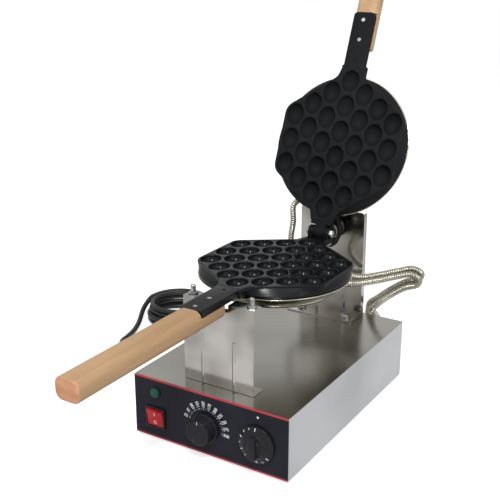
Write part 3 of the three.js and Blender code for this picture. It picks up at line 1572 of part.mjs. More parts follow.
const lower_route = [
  ...straightFrom(lower_exit, lower_leave, conduit_radius * 2),
  ...fromBackEdge(lower_free_points),
  ...straightBack(backGlands()[0]),
];
const upper_route = [
  ...straightFrom(upper_exit, upper_leave, conduit_radius * 2),
  ...fromBackEdge(upper_free_points),
  ...straightBack(backGlands()[1]),
];
machine.add(part('lower_conduit', ribbedHose(lower_route), finish.polished));
machine.add(part('upper_conduit', ribbedHose(upper_route), finish.polished));

const cord_place = backGlands()[2];
const cord_start_y = back_face_y + gland_length + cord_gland_length + seat_gap * 2;
const coil_in = coilPoint(0);
const coil_out = coilPoint(coil_turns);
const supply_free_points = [
  [-92, 55, 7.6], [-112, 77, 0.2], [-150, 87, 0.2], [-210, 81, 0.2], [-270, 67, 0.2],
];
const tail_free_points = [
  [-54, -38, 17.6], [-42, -68, 3.6], [-30, -98, 0.2], [-22, -128, 0.2], [-19, -144, 0.2], [-12, -153, 0.2],
  [-3, -152, 1.6], [5, -146, 7.6], [13, -138, 14.2], [22, -128, 14.2],
];
const cord_route = [
  [cord_place.x, cord_start_y, cord_place.z], [cord_place.x, cord_start_y + cord_radius * 2, cord_place.z],
  ...supply_free_points.map((point) => [point[0], back_face_y + point[1], cord_radius + point[2]]),
  [coil_in.x + cord_radius * 2, coil_in.y, coil_in.z], [coil_in.x + seat_gap, coil_in.y, coil_in.z],
];
const tail_route = [
  [coil_out.x, coil_out.y - seat_gap, coil_out.z], [coil_out.x, coil_out.y - cord_radius * 2, coil_out.z],
  ...tail_free_points.map((point) => [coil_x + point[0], coil_y + point[1], cord_radius + point[2]]),
];
machine.add(part('power_cord', cordRun(cord_route), finish.black));
machine.add(part('cord_coil', coiledCord(), finish.black));
machine.add(part('cord_tail', cordRun(tail_route), finish.black));
const plug = part('power_plug', powerPlug(), finish.black);
machine.add(plug);
const tail_end = new THREE.Vector3(...tail_route[tail_route.length - 1]);
const tail_before = new THREE.Vector3(...tail_route[tail_route.length - 2]);
const tail_leave = tail_end.clone().sub(tail_before).normalize();
plug.quaternion.setFromUnitVectors(new THREE.Vector3(0, 1, 0), tail_leave);
plug.position.copy(tail_end).addScaledVector(tail_leave, seat_gap);

// The origin lies on the worktop under the middle of the machine, with its supply cord left out
const supply = ['power_cord', 'cord_coil', 'cord_tail', 'power_plug'];
const bounds = new THREE.Box3();
for (const child of machine.children) {
  if (!supply.includes(child.name)) bounds.expandByObject(child, true);
}
const middle = bounds.getCenter(new THREE.Vector3());
machine.position.set(-middle.x, -middle.y, 0);
console.log(`origin offset: ${machine.position.x.toFixed(4)}, ${machine.position.y.toFixed(4)}`);

const placed = new THREE.Group();
placed.add(machine);
export default placed;
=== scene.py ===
# %% [markdown]
# # Bubble waffle maker
# This lesson dresses a CAD model of a countertop egg waffle maker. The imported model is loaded
# first and stays where it is. Each visible piece then gets either a better material or a finer
# mesh that stands for it. Everything is in metres, with +Y to the back and +Z up.

# %% Load the model
import bpy
import bmesh
import math
from mathutils import Matrix, Vector


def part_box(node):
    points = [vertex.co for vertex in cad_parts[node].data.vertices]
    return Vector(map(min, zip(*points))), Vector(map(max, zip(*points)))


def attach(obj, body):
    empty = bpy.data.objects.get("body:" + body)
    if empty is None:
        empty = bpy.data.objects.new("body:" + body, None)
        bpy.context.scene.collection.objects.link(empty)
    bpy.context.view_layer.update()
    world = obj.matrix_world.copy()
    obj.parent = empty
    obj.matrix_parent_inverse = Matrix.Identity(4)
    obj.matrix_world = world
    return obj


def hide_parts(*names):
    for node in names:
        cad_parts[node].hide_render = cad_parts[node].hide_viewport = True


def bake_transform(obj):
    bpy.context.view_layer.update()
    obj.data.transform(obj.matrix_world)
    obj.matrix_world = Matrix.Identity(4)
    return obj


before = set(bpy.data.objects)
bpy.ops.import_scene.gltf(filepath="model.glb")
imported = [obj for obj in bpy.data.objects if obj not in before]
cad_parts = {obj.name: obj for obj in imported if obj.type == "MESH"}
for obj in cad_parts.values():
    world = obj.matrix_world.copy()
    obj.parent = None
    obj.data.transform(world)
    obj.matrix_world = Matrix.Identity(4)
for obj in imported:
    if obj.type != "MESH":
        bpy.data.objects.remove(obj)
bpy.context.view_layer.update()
MM = 0.001
print("nodes loaded:", len(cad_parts))

# %% [markdown]
# The solids were drawn with the box in the middle and then moved so that the whole machine is
# centred. Reading that shift from the panel lets the rest of the lesson use the same drawing
# numbers as the workshop: millimetres, zero in the middle of the box, worktop at z = 0. The moulds
# are drawn about the shaft's middle. The lid is drawn face up like the lower mould, then mirrored
# and swung open about the hinge.

# %% Drawing frames
HALF_DEPTH = 185
SHAFT_HEIGHT = 234
MOULD_Y = -9
HINGE = Vector((0, 131, 6))
LID_ANGLE = math.radians(113)
panel_low, panel_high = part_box("control_panel")
SHIFT = Vector(((panel_low[0] + panel_high[0]) / 2, panel_low[1] + HALF_DEPTH * MM, 0))
DRAWING = Matrix.Translation(SHIFT) @ Matrix.Scale(MM, 4)
LOWER = Matrix.Translation(SHIFT + Vector((0, 0, SHAFT_HEIGHT * MM))) @ Matrix.Scale(MM, 4)
UPPER = (LOWER @ Matrix.Translation(HINGE) @ Matrix.Rotation(-LID_ANGLE, 4, 'X')
         @ Matrix.Translation(-HINGE) @ Matrix.Diagonal((1, 1, -1, 1)))
UPWARDS = Vector((0, 0, 1))
print("shift of the drawing, mm:", [round(v / MM, 2) for v in SHIFT])

# %% [markdown]
# The camera stands where the photographer stood. Its place and lens were fitted to the corners of
# the box, so the straight lines of the render run the same way as in the photograph.

# %% Camera
def in_scene(name, data):
    item = bpy.data.objects.new(name, data)
    bpy.context.scene.collection.objects.link(item)
    return item


look = Vector((-0.50049, 0.80339, -0.32260)).normalized()
side = look.cross(UPWARDS).normalized()
place = DRAWING @ Vector((618.70, -1070.62, 668.95))
camera_data = bpy.data.cameras.new("photo_camera")
camera_data.lens, camera_data.sensor_width, camera_data.clip_end = 64.85, 36, 50
camera = in_scene("photo_camera", camera_data)
camera.matrix_world = (Matrix.Translation(place)
                       @ Matrix((side, side.cross(look), -look)).transposed().to_4x4())
bpy.context.scene.camera = camera
bpy.context.scene.view_settings.view_transform = "Standard"
print("camera at", [round(v, 3) for v in place])

# %% [markdown]
# Materials come next, because every piece needs one when it is finished. Each is a Principled
# shader. `add_node` makes a node and fills its sockets, with a plain value or with what another
# node gives. The small helpers after it do arithmetic, mix two colours, and tell whether a point
# lies above or below a height.

# %% Node helpers
def add_node(tree, kind, sockets=None, **settings):
    node = tree.nodes.new("ShaderNode" + kind)
    for name, value in settings.items():
        setattr(node, name, value)
    for key, value in (sockets or {}).items():
        if isinstance(value, bpy.types.NodeSocket):
            tree.links.new(value, node.inputs[key])
        else:
            node.inputs[key].default_value = value
    return node


def math_of(tree, operation, *values):
    return add_node(tree, "Math", dict(enumerate(values)), operation=operation).outputs[0]


def mix_of(tree, share, first, second, blend='MIX'):
    """In a colour Mix node, sockets 6 and 7 are the two colours and output 2 is the result."""
    return add_node(tree, "Mix", {0: share, 6: first, 7: (*second, 1)}, data_type='RGBA',
                    blend_type=blend).outputs[2]


def height_mask(tree, comparison, height):
    place = add_node(tree, "TexCoord").outputs["Object"]
    split = add_node(tree, "SeparateXYZ", {0: place})
    return math_of(tree, comparison, split.outputs["Z"], height)


FINISHES = {}


def new_finish(name, colour, roughness, metallic=0.0, shine=0.5):
    material = bpy.data.materials.new(name)
    material.use_nodes = True
    tree = material.node_tree
    shader = tree.nodes["Principled BSDF"]
    for socket, value in (("Base Color", (*colour, 1)), ("Roughness", roughness),
                          ("Metallic", metallic), ("Specular IOR Level", shine)):
        shader.inputs[socket].default_value = value
    FINISHES[name] = material
    return tree, shader


print("node helpers ready")

# %% [markdown]
# No surface of the real machine is flat paint. `grain` is a noise on Object coordinates, which may
# be stretched along the direction that a sheet was brushed in. It drives the colour, the roughness
# and a fine bump.

# %% What a grain drives
def grain(tree, scale, stretch=(1, 1, 1), turned=(0, 0, 0), detail=4.0):
    place = add_node(tree, "TexCoord").outputs["Object"]
    mapped = add_node(tree, "Mapping", {"Vector": place, "Rotation": turned, "Scale": stretch})
    noise = add_node(tree, "TexNoise",
                     {"Vector": mapped.outputs["Vector"], "Scale": scale, "Detail": detail})
    return noise.outputs["Fac"]


def colour_from(tree, value, stops):
    ramp = add_node(tree, "ValToRGB", {"Fac": value})
    steps = ramp.color_ramp.elements
    for count, (position, colour) in enumerate(stops):
        element = steps[count] if count < 2 else steps.new(position)
        element.position = position
        element.color = (*colour, 1)
    return ramp.outputs["Color"]


def roughness_from(tree, shader, value, low, high):
    spread = add_node(tree, "MapRange", {"Value": value, "From Min": 0.3, "From Max": 0.7,
                                         "To Min": low, "To Max": high})
    tree.links.new(spread.outputs["Result"], shader.inputs["Roughness"])


def bump_from(tree, shader, value, strength, distance):
    bump = add_node(tree, "Bump", {"Height": value, "Strength": strength, "Distance": distance})
    tree.links.new(bump.outputs["Normal"], shader.inputs["Normal"])


print("grain helpers ready")

# %% [markdown]
# The sheet metal is stainless steel. The box is satin, brushed from front to back. The brackets
# and the spun dishes are brighter and warmer, and their brushing runs upright or round. The
# fasteners are zinc plated, a little bluer and duller. The satin sheet above the panel's upper edge
# is painted darker, a painted reflection of the black moulds that hang over the top of the box.

# %% Metal finishes
STEELS = dict(
    satin_steel=((0.42, 0.425, 0.435), (0.52, 0.525, 0.535), 0.17, 0.25, (50, 0.3, 50), 0.015, 6),
    bright_steel=((0.27, 0.26, 0.23), (0.54, 0.52, 0.50), 0.13, 0.20, (50, 50, 0.3), 0.015, 12),
    dish_steel=((0.36, 0.34, 0.26), (0.56, 0.54, 0.46), 0.12, 0.20, (3, 3, 3), 0.05, 9),
    hose_steel=((0.36, 0.34, 0.28), (0.56, 0.54, 0.47), 0.22, 0.38, (4, 4, 4), 0.02, 9),
    zinc=((0.24, 0.25, 0.25), (0.46, 0.47, 0.47), 0.24, 0.38, (5, 5, 5), 0.05, 90),
    dark_steel=((0.10, 0.09, 0.08), (0.20, 0.18, 0.16), 0.40, 0.55, (4, 4, 4), 0.05, 9),
    bronze=((0.36, 0.25, 0.12), (0.48, 0.34, 0.17), 0.30, 0.45, (5, 5, 5), 0.05, 9))
# Painted reflection: the colour that darkens the box top, standing in for the black moulds above
# it.
PAINTED_REFLECTION_TINT = (0.70, 0.68, 0.61)


def steel_finish(name, dark, light, rough_low, rough_high, stretch, bump, cloud_scale):
    tree, shader = new_finish(name, light, rough_low, 1.0)
    streaks = grain(tree, 60, stretch, detail=6)
    clouds = grain(tree, cloud_scale, detail=2)
    colour = colour_from(tree, clouds, [(0.36, dark), (0.62, light)])
    # The satin sheet above the panel's upper edge is painted darker: a painted reflection of the
    # moulds.
    if name == "satin_steel":
        above = height_mask(tree, 'GREATER_THAN', panel_high[2] - 0.4 * MM)
        colour = mix_of(tree, above, colour, PAINTED_REFLECTION_TINT, 'MULTIPLY')
    tree.links.new(colour, shader.inputs["Base Color"])
    roughness_from(tree, shader, streaks, rough_low, rough_high)
    bump_from(tree, shader, streaks, bump, 0.0002)


for name, numbers in STEELS.items():
    steel_finish(name, *numbers)
print("metal finishes:", *STEELS)

# %% [markdown]
# The moulds are castings with a baked non-stick coating. It is nearly black, with a fine
# orange-peel surface. The lower mould is oiled, so each of its egg cells holds a small highlight.
# The lid hangs open. Its coating is the same but rougher, so its cells hold no highlight, and its
# colour is a shade lighter: painted light, a lit copy of the same coating. Plastic and rubber
# differ from both in roughness and in the size of their texture. The rocker is red plastic and the
# lamp's lens is dark green, and their colours vary as little as a moulding's do.

# %% Coatings, plastics and rubber
MOULDINGS = dict(
    oiled_coating=((0.0040, 0.0044, 0.0052), (0.0064, 0.0070, 0.0082), 0.20, 0.26, 900, 0.05, 0.12),
    # The lid's copy of the coating is painted a shade lighter: painted light.
    lid_coating_painted_lighter=((0.0095, 0.0100, 0.0105), (0.0125, 0.0130, 0.0140), 0.55, 0.65, 900, 0.10, 0.05),
    cast_paint=((0.010, 0.010, 0.011), (0.018, 0.018, 0.019), 0.40, 0.52, 500, 0.3, 0.25),
    black_plastic=((0.008, 0.008, 0.010), (0.012, 0.012, 0.015), 0.32, 0.44, 1500, 0.15, 0.2),
    black_rubber=((0.012, 0.012, 0.012), (0.021, 0.021, 0.021), 0.55, 0.7, 700, 0.35, 0.5),
    cord_sheath=((0.010, 0.010, 0.011), (0.018, 0.018, 0.019), 0.36, 0.48, 400, 0.15, 0.35),
    cream_plastic=((0.62, 0.57, 0.45), (0.70, 0.65, 0.54), 0.4, 0.5, 700, 0.2, 0.5),
    white_print=((0.60, 0.62, 0.64), (0.72, 0.74, 0.76), 0.45, 0.55, 1500, 0.05, 0.5),
    red_plastic=((0.40, 0.003, 0.008), (0.50, 0.005, 0.012), 0.30, 0.40, 900, 0.04, 0.25),
    green_lens=((0.002, 0.050, 0.026), (0.003, 0.085, 0.045), 0.22, 0.32, 600, 0.05, 0.25))


def dark_finish(name, dark, light, rough_low, rough_high, scale, bump, shine):
    tree, shader = new_finish(name, dark, rough_low, shine=shine)
    clouds = grain(tree, 14)
    colour = colour_from(tree, clouds, [(0.32, dark), (0.68, light)])
    tree.links.new(colour, shader.inputs["Base Color"])
    roughness_from(tree, shader, clouds, rough_low, rough_high)
    bump_from(tree, shader, grain(tree, scale, detail=2), bump, 0.0003)


for name, numbers in MOULDINGS.items():
    dark_finish(name, *numbers)
print("other finishes:", *MOULDINGS)

# %% [markdown]
# The front panel is one sheet of dark lacquer with a red line printed along its top and bottom
# edges. The lines are part of the paint, so the material looks at how high a point lies: the
# Object coordinate's Z is compared with the two heights where a line begins.

# %% Panel paint with two red lines
LINE_WIDTH = 2.6 * MM
LINE_RED = (0.40, 0.045, 0.055)
tree, shader = new_finish("panel_paint", (0.014, 0.014, 0.019), 0.3, shine=0.10)
cloud = grain(tree, 16, detail=3)
lacquer = colour_from(tree, cloud, [(0.3, (0.010, 0.010, 0.016)), (0.7, (0.015, 0.015, 0.023))])
lines = math_of(tree, 'MAXIMUM', height_mask(tree, 'GREATER_THAN', panel_high[2] - LINE_WIDTH),
               height_mask(tree, 'LESS_THAN', panel_low[2] + LINE_WIDTH))
tree.links.new(mix_of(tree, lines, lacquer, LINE_RED), shader.inputs["Base Color"])
roughness_from(tree, shader, cloud, 0.26, 0.36)
bump_from(tree, shader, grain(tree, 500, detail=2), 0.04, 0.0002)
print("panel paint made")

# %% [markdown]
# The grips are plain hardwood, the lid's a little lighter than the lower one. Wood grain is a
# noise stretched along the bar, crossed by finer fibres. The lid's grip leans back with the lid,
# so its pattern is turned by the same angle before it is stretched. Cut end grain is pinker and is
# a second material for the end face.

# %% Wood finishes
WOOD = ((0.25, 0.148, 0.072), (0.31, 0.194, 0.102), (0.37, 0.238, 0.130))
LIGHT_WOOD = ((0.34, 0.21, 0.11), (0.42, 0.27, 0.15), (0.48, 0.32, 0.18))


def wood_finish(name, dark, middle, light, turned):
    tree, shader = new_finish(name, middle, 0.55, shine=0.25)
    bands = grain(tree, 26, (1.6, 0.14, 1.6), turned, detail=5)
    fibres = grain(tree, 160, (3.0, 0.12, 3.0), turned, detail=5)
    blend = math_of(tree, 'MULTIPLY_ADD', fibres, 0.35, bands)
    colour = colour_from(tree, blend, [(0.45, dark), (0.85, light), (0.65, middle)])
    tree.links.new(colour, shader.inputs["Base Color"])
    roughness_from(tree, shader, fibres, 0.48, 0.66)
    bump_from(tree, shader, fibres, 0.22, 0.0003)


wood_finish("lower_wood", *WOOD, (0, 0, 0))
wood_finish("upper_wood", *LIGHT_WOOD, (LID_ANGLE, 0, 0))
tree, shader = new_finish("end_grain", (0.58, 0.26, 0.13), 0.6)
rings = grain(tree, 55, (1, 0.2, 2.5), detail=5)
colour = colour_from(tree, rings, [(0.35, (0.44, 0.20, 0.10)), (0.7, (0.57, 0.29, 0.16))])
tree.links.new(colour, shader.inputs["Base Color"])
bump_from(tree, shader, rings, 0.2, 0.0003)
print("wood finishes made")

# %% [markdown]
# A finished piece is a mesh whose object sits at the origin. `finish_piece` takes a bmesh drawn in
# millimetres, brings it into place, smooths its round faces, gives it one finish or two by name,
# hides the solids that it stands for and hangs it on the moving body that it rides on. `plated` and
# `printed` are the same for small zinc pieces and for white marks.

# %% Finishing a piece
def as_mesh(name, shape):
    mesh = bpy.data.meshes.new(name)
    shape.to_mesh(mesh)
    shape.free()
    return mesh


def joined(*shapes):
    whole = bmesh.new()
    for shape in shapes:
        mesh = as_mesh("joining", shape)
        whole.from_mesh(mesh)
        bpy.data.meshes.remove(mesh)
    return whole


def finish_piece(name, shape, matrix, body, finishes, nodes, angle=35):
    shape.transform(matrix)
    bmesh.ops.recalc_face_normals(shape, faces=shape.faces)
    mesh = as_mesh(name, shape)
    mesh.polygons.foreach_set("use_smooth", [True] * len(mesh.polygons))
    mesh.set_sharp_from_angle(angle=math.radians(angle))
    piece = in_scene(name, mesh)
    for finish in finishes.split():
        mesh.materials.append(FINISHES[finish])
    if nodes:
        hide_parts(*nodes)
    if body:
        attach(piece, body)
    return piece


def plated(name, shape, matrix, body, node):
    finish_piece(name, shape, matrix, body, "zinc", [node])


def printed(name, shapes, matrix, body):
    finish_piece(name, joined(*shapes), matrix, body, "white_print", (), 20)


print("piece helpers ready")

# %% [markdown]
# Most pieces of a machine are turned, folded or cast. A turned piece is a profile spun about an
# axis. A plate is an outline raised and bevelled. A bar is a cube, scaled and bevelled. Each
# helper returns its own bmesh, and `joined` puts several into one piece.

# %% Turned, raised and boxed shapes
def turn(profile, steps=48, centre=(0, 0, 0), axis=(0, 0, 1)):
    """Spins a profile of (radius, height) pairs about an axis."""
    shape = bmesh.new()
    axis, centre = Vector(axis).normalized(), Vector(centre)
    out = Vector((1, 0, 0)) if abs(axis.x) < 0.9 else Vector((0, 1, 0))
    out = (out - axis * out.dot(axis)).normalized()
    chain = [shape.verts.new(centre + out * radius + axis * height) for radius, height in profile]
    edges = [shape.edges.new(pair) for pair in zip(chain, chain[1:])]
    bmesh.ops.spin(shape, geom=chain + edges, cent=centre, axis=axis, angle=math.tau, steps=steps,
                   use_merge=True, use_duplicate=False)
    bmesh.ops.remove_doubles(shape, verts=shape.verts, dist=1e-4)
    bmesh.ops.recalc_face_normals(shape, faces=shape.faces)
    return shape


def round_rims(shape, edges, offset, segments=3):
    bmesh.ops.bevel(shape, geom=list(edges), offset=offset, offset_type='OFFSET', affect='EDGES',
                    segments=segments, profile=0.5, material=-1, clamp_overlap=True)
    bmesh.ops.recalc_face_normals(shape, faces=shape.faces)
    return shape


def bar(low, high, edge=0.0, segments=3, along=None, long_edge=0.0):
    """A box. The edges that run along one axis may be rounded more than the others."""
    shape = bmesh.new()
    low, high = Vector(low), Vector(high)
    bmesh.ops.create_cube(shape, size=1)
    bmesh.ops.scale(shape, vec=high - low, verts=shape.verts)
    bmesh.ops.translate(shape, vec=(low + high) / 2, verts=shape.verts)
    if along is not None:
        run = [e for e in shape.edges if abs((e.verts[0].co - e.verts[1].co)[along]) > 1e-6]
        round_rims(shape, run, long_edge, 8)
        ends = [e for e in shape.edges if len(e.link_faces) == 2
                and any(abs(abs(f.normal[along]) - 1) < 1e-4 for f in e.link_faces)]
        round_rims(shape, ends, edge, segments)
    elif edge:
        round_rims(shape, shape.edges, edge, segments)
    return shape


def plate(outline, low, high, edge=0.0, segments=3, lower_edge=True):
    shape = bmesh.new()
    face = shape.faces.new([shape.verts.new((x, y, low)) for x, y in outline])
    grown = bmesh.ops.extrude_face_region(shape, geom=[face])["geom"]
    top = [v for v in grown if isinstance(v, bmesh.types.BMVert)]
    bmesh.ops.translate(shape, vec=(0, 0, high - low), verts=top)
    bmesh.ops.recalc_face_normals(shape, faces=shape.faces)
    if edge:
        rims = [e for e in shape.edges if abs(e.verts[0].co.z - e.verts[1].co.z) < 1e-6
                and (lower_edge or e.verts[0].co.z > (low + high) / 2)]
        round_rims(shape, rims, edge, segments)
    return shape


print("turned, raised and boxed shapes ready")

# %% [markdown]
# Outlines and profiles are short lists of points, and their round corners are worked out. A corner
# of an outline becomes a curve, a rim of a profile becomes an arc. A rod and a six-sided bolt head
# are needed so often that each has a helper of its own.

# %% Corners, rims, rods and bolt heads
def soft_outline(corners, corner_reach, steps=8):
    """The outline with each corner replaced by a curve that begins one reach before it."""
    points = []
    reaches = corner_reach if isinstance(corner_reach, list) else [corner_reach] * len(corners)
    for count, (corner, reach) in enumerate(zip(corners, reaches)):
        corner, before = Vector(corner), Vector(corners[count - 1])
        after = Vector(corners[(count + 1) % len(corners)])
        entry = corner + (before - corner).normalized() * reach
        leave = corner + (after - corner).normalized() * reach
        for step in range(steps + 1):
            t = step / steps
            points.append(entry * (1 - t) ** 2 + corner * 2 * t * (1 - t) + leave * t ** 2)
    return [(p.x, p.y) for p in points]


def arc(centre_radius, centre_height, radius, start, end, steps=5):
    """Profile points on a circle, with angles in degrees from the outward direction."""
    angles = [math.radians(start + (end - start) * k / steps) for k in range(steps + 1)]
    return [(centre_radius + radius * math.cos(a), centre_height + radius * math.sin(a))
            for a in angles]


def rod(start, axis, radius, length, edge=0.6, steps=32):
    return turn([(0, 0), (radius - edge, 0)] + arc(radius - edge, edge, edge, -90, 0, 3)
                + arc(radius - edge, length - edge, edge, 0, 90, 3) + [(0, length)],
                steps, start, axis)


def hexagon(centre, axis, radius, height):
    """A six-sided head standing on its centre, with its outer rim chamfered all round."""
    shape = bmesh.new()
    bmesh.ops.create_cone(shape, cap_ends=True, segments=6, radius1=radius, radius2=radius,
                          depth=height)
    bmesh.ops.translate(shape, vec=(0, 0, height / 2), verts=shape.verts)
    rims = [e for e in shape.edges if all(v.co.z > height / 2 for v in e.verts)]
    round_rims(shape, rims, radius * 0.12, 2)
    tilt = UPWARDS.rotation_difference(Vector(axis)).to_matrix().to_4x4()
    shape.transform(Matrix.Translation(Vector(centre)) @ tilt)
    return shape


print("corners, rims, rods and bolt heads ready")

# %% [markdown]
# The supply cord leaves the back of the box, lies on the worktop, goes through a round coil and
# runs forward to its plug. It is one length, so it is one open spline. A `smooth_route` through
# given points gives the free stretches, and a loop works out the coil: its turns lie beside and on
# each other, one cord thick apart.

# %% Routes
def smooth_route(points, spacing=6.0):
    """A centripetal curve through the points, resampled at an even spacing."""
    points = [Vector(p) for p in points]
    ends = [2 * points[0] - points[1]] + points + [2 * points[-1] - points[-2]]
    dense = []
    for a, b, c, d in zip(ends, ends[1:], ends[2:], ends[3:]):
        t1 = (b - a).length ** 0.5
        t2 = t1 + (c - b).length ** 0.5
        t3 = t2 + (d - c).length ** 0.5
        for step in range(24):
            t = t1 + (t2 - t1) * step / 24
            p = a + (b - a) * t / t1
            q = b + (c - b) * (t - t1) / (t2 - t1)
            r = c + (d - c) * (t - t2) / (t3 - t2)
            u, v = p + (q - p) * t / t2, q + (r - q) * (t - t1) / (t3 - t1)
            dense.append(u + (v - u) * (t - t1) / (t2 - t1))
    dense.append(points[-1])
    return even_steps(dense, spacing)


def even_steps(dense, spacing):
    lengths = [0.0]
    for a, b in zip(dense, dense[1:]):
        lengths.append(lengths[-1] + (b - a).length)
    count = max(2, round(lengths[-1] / spacing))
    out, k = [], 0
    for step in range(count + 1):
        want = lengths[-1] * step / count
        while k < len(lengths) - 2 and lengths[k + 1] < want:
            k += 1
        share = (want - lengths[k]) / max(lengths[k + 1] - lengths[k], 1e-9)
        out.append(dense[k].lerp(dense[k + 1], min(max(share, 0), 1)))
    return out


print("route helpers ready")

# %% [markdown]
# Each layer of the coil winds inwards or outwards, and the cord climbs to the next layer over a
# quarter of a turn on either side of the change.

# %% The cord's route
CORD_RADIUS = 4.4
COIL_X, COIL_Y = -322, 188
COIL_WIDE, COIL_NARROW = 58, 45.5
COIL_TURNS, COIL_LAYERS, LAYER_RISE = 5.25, 4, 9.6
CLIMB = 0.25
POINTS_PER_TURN = 48
PER_LAYER = COIL_TURNS / COIL_LAYERS


def coil_point(turns):
    layer = min(COIL_LAYERS - 1, math.floor(turns / PER_LAYER))
    within = turns / PER_LAYER - layer
    share = within if layer % 2 == 0 else 1 - within
    radius = COIL_WIDE + (COIL_NARROW - COIL_WIDE) * share
    past, ahead = turns - layer * PER_LAYER, (layer + 1) * PER_LAYER - turns
    rise = layer
    if layer > 0 and past < CLIMB:
        rise = layer - (0.5 - past / (2 * CLIMB))
    if layer < COIL_LAYERS - 1 and ahead < CLIMB:
        rise = layer + (0.5 - ahead / (2 * CLIMB))
    turned = math.pi / 2 + turns * math.tau
    return Vector((COIL_X + radius * math.cos(turned), COIL_Y + radius * math.sin(turned),
                   CORD_RADIUS + rise * LAYER_RISE))


coil_in, coil_out = coil_point(0), coil_point(COIL_TURNS)
cord_out = smooth_route([
    (-85, 211.6, 24), (-85, 220.4, 24), (-92, 240, 12), (-112, 262, 4.6), (-150, 272, 4.6),
    (-210, 266, 4.6), (-270, 252, 4.6), (coil_in.x + CORD_RADIUS * 2, coil_in.y, coil_in.z),
    (coil_in.x + 0.3, coil_in.y, coil_in.z)])
coil = [coil_point(k / POINTS_PER_TURN) for k in range(int(POINTS_PER_TURN * COIL_TURNS) + 1)]
tail = smooth_route([
    (coil_out.x, coil_out.y - 0.3, coil_out.z),
    (coil_out.x, coil_out.y - CORD_RADIUS * 2, coil_out.z),
    (-376, 150, 22), (-364, 120, 8), (-352, 90, 4.6), (-344, 60, 4.6), (-341, 44, 4.6),
    (-334, 35, 4.6), (-325, 36, 6), (-317, 42, 12), (-309, 50, 18.6), (-300, 60, 18.6)])
cord_route = cord_out + coil + tail

# %% [markdown]
# A curve object turns the route into a round cord by itself: its bevel depth is the cord's radius.

# %% Supply cord
cord_data = bpy.data.curves.new("supply_cord", 'CURVE')
cord_data.dimensions = '3D'
cord_data.bevel_depth = CORD_RADIUS * MM
cord_data.bevel_resolution = 5
cord_data.use_fill_caps = True
cord_data.materials.append(FINISHES["cord_sheath"])
spline = cord_data.splines.new('POLY')
spline.points.add(len(cord_route) - 1)
for point, spot in zip(spline.points, cord_route):
    point.co = (*(DRAWING @ spot), 1)
spline.use_smooth = True
supply_cord = in_scene("supply_cord", cord_data)
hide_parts("power_cord", "cord_coil", "cord_tail")
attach(supply_cord, "base")
print("supply cord made")

# %% [markdown]
# The plug is a round moulded body with a ribbed neck, a collar and two pins. It is turned about
# the direction that the cord arrives in. The pins are turned too, with rounded tips.

# %% Plug
arrive = (tail[-1] - Vector((-309, 50, 18.6))).normalized()
across = arrive.cross(UPWARDS).normalized()
plug_at = Vector((-300, 60, 18.6)) + arrive * 0.3
neck = []
for k in range(4):
    wide, along = 0.35 * k, k * 2.4
    neck += [(5.4 + wide, 0.5 + along), (6.4 + wide, 1.0 + along), (6.4 + wide, 2.0 + along),
             (5.6 + wide, 2.5 + along)]
plug_body = turn([(0, 0), (5.2, 0)] + neck + [(7.6, 11), (11, 12.6)]
                 + arc(12.5, 16.5, 2.5, -60, 0, 4)
                 + [(14.4, 26), (15, 38), (16.4, 39.6), (18, 40.4)] + arc(17.5, 42, 1, -60, 0, 3)
                 + arc(17.3, 45.8, 1.2, 0, 90, 4) + [(0, 47)],
                 48, plug_at, arrive)
pins = [turn([(0, 46), (2.4, 46), (2.4, 63.5)] + arc(1.4, 64.9, 1.0, 0, 90, 3) + [(0, 65.9)], 16,
             plug_at + across * 9.5 * sign, arrive) for sign in (-1, 1)]
plug_faces = len(plug_body.faces)
plug = finish_piece("plug", joined(plug_body, *pins), DRAWING, "base", "black_plastic zinc",
                    ["power_plug"])
for face in plug.data.polygons:
    face.material_index = 0 if face.index < plug_faces else 1
print("plug faces:", len(plug.data.polygons))

# %% [markdown]
# Each heater's wires run through a hose wound from steel strip. Close up it is a row of round
# ridges. `wound_hose` sets a circle at every station of the route, a little larger on a ridge and
# smaller in a groove, and bridges each circle to the next.

# %% Wound hoses
def wound_hose(points, pitch=3.6, crest=5.25, groove=4.1, sides=20):
    line = smooth_route(points, pitch / 4)
    shape = bmesh.new()
    normal = (line[1] - line[0]).normalized().orthogonal().normalized()
    flank = (groove + crest) / 2 + 0.2
    loops = []
    for count, spot in enumerate(line):
        ahead, behind = line[min(count + 1, len(line) - 1)], line[max(count - 1, 0)]
        heading = (ahead - behind).normalized()
        normal = (normal - heading * normal.dot(heading)).normalized()
        facing = Matrix((normal, heading.cross(normal), heading)).transposed().to_4x4()
        ring = bmesh.ops.create_circle(shape, cap_ends=False, segments=sides,
                                       radius=(groove, flank, crest, flank)[count % 4],
                                       matrix=Matrix.Translation(spot) @ facing)["verts"]
        loops.append(list({e for v in ring for e in v.link_edges}))
    for one, two in zip(loops, loops[1:]):
        bmesh.ops.bridge_loops(shape, edges=one + two)
    return shape


def hose_piece(name, points, node):
    piece = finish_piece(name, wound_hose(points), DRAWING, None, "hose_steel", [node],
                         50)
    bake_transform(piece)
    print(name, "faces:", len(piece.data.polygons))


print("hose helpers ready")

# %% [markdown]
# A hose starts in a gland on its dish, makes a loop in the air that leaves room for the mould to
# turn, and ends in a gland on the back of the box.

# %% The lower hose
GLAND_LENGTH = 10.6
STRAIGHT_OUT = 10.4
DISH_SIDE, DISH_DEPTH = 103, -28
BOX_BACK = HALF_DEPTH + GLAND_LENGTH


def dish_gland(matrix, degrees, side):
    """Where a hose leaves a dish and the way it points, in drawing millimetres."""
    turned = math.radians(degrees)
    leave = Vector((side * math.sin(turned), math.cos(turned), 0))
    start = leave * DISH_SIDE + Vector((0, MOULD_Y, DISH_DEPTH))
    to_drawing = DRAWING.inverted() @ matrix
    leave = (to_drawing.to_3x3() @ leave).normalized()
    return to_drawing @ start + leave * GLAND_LENGTH, leave


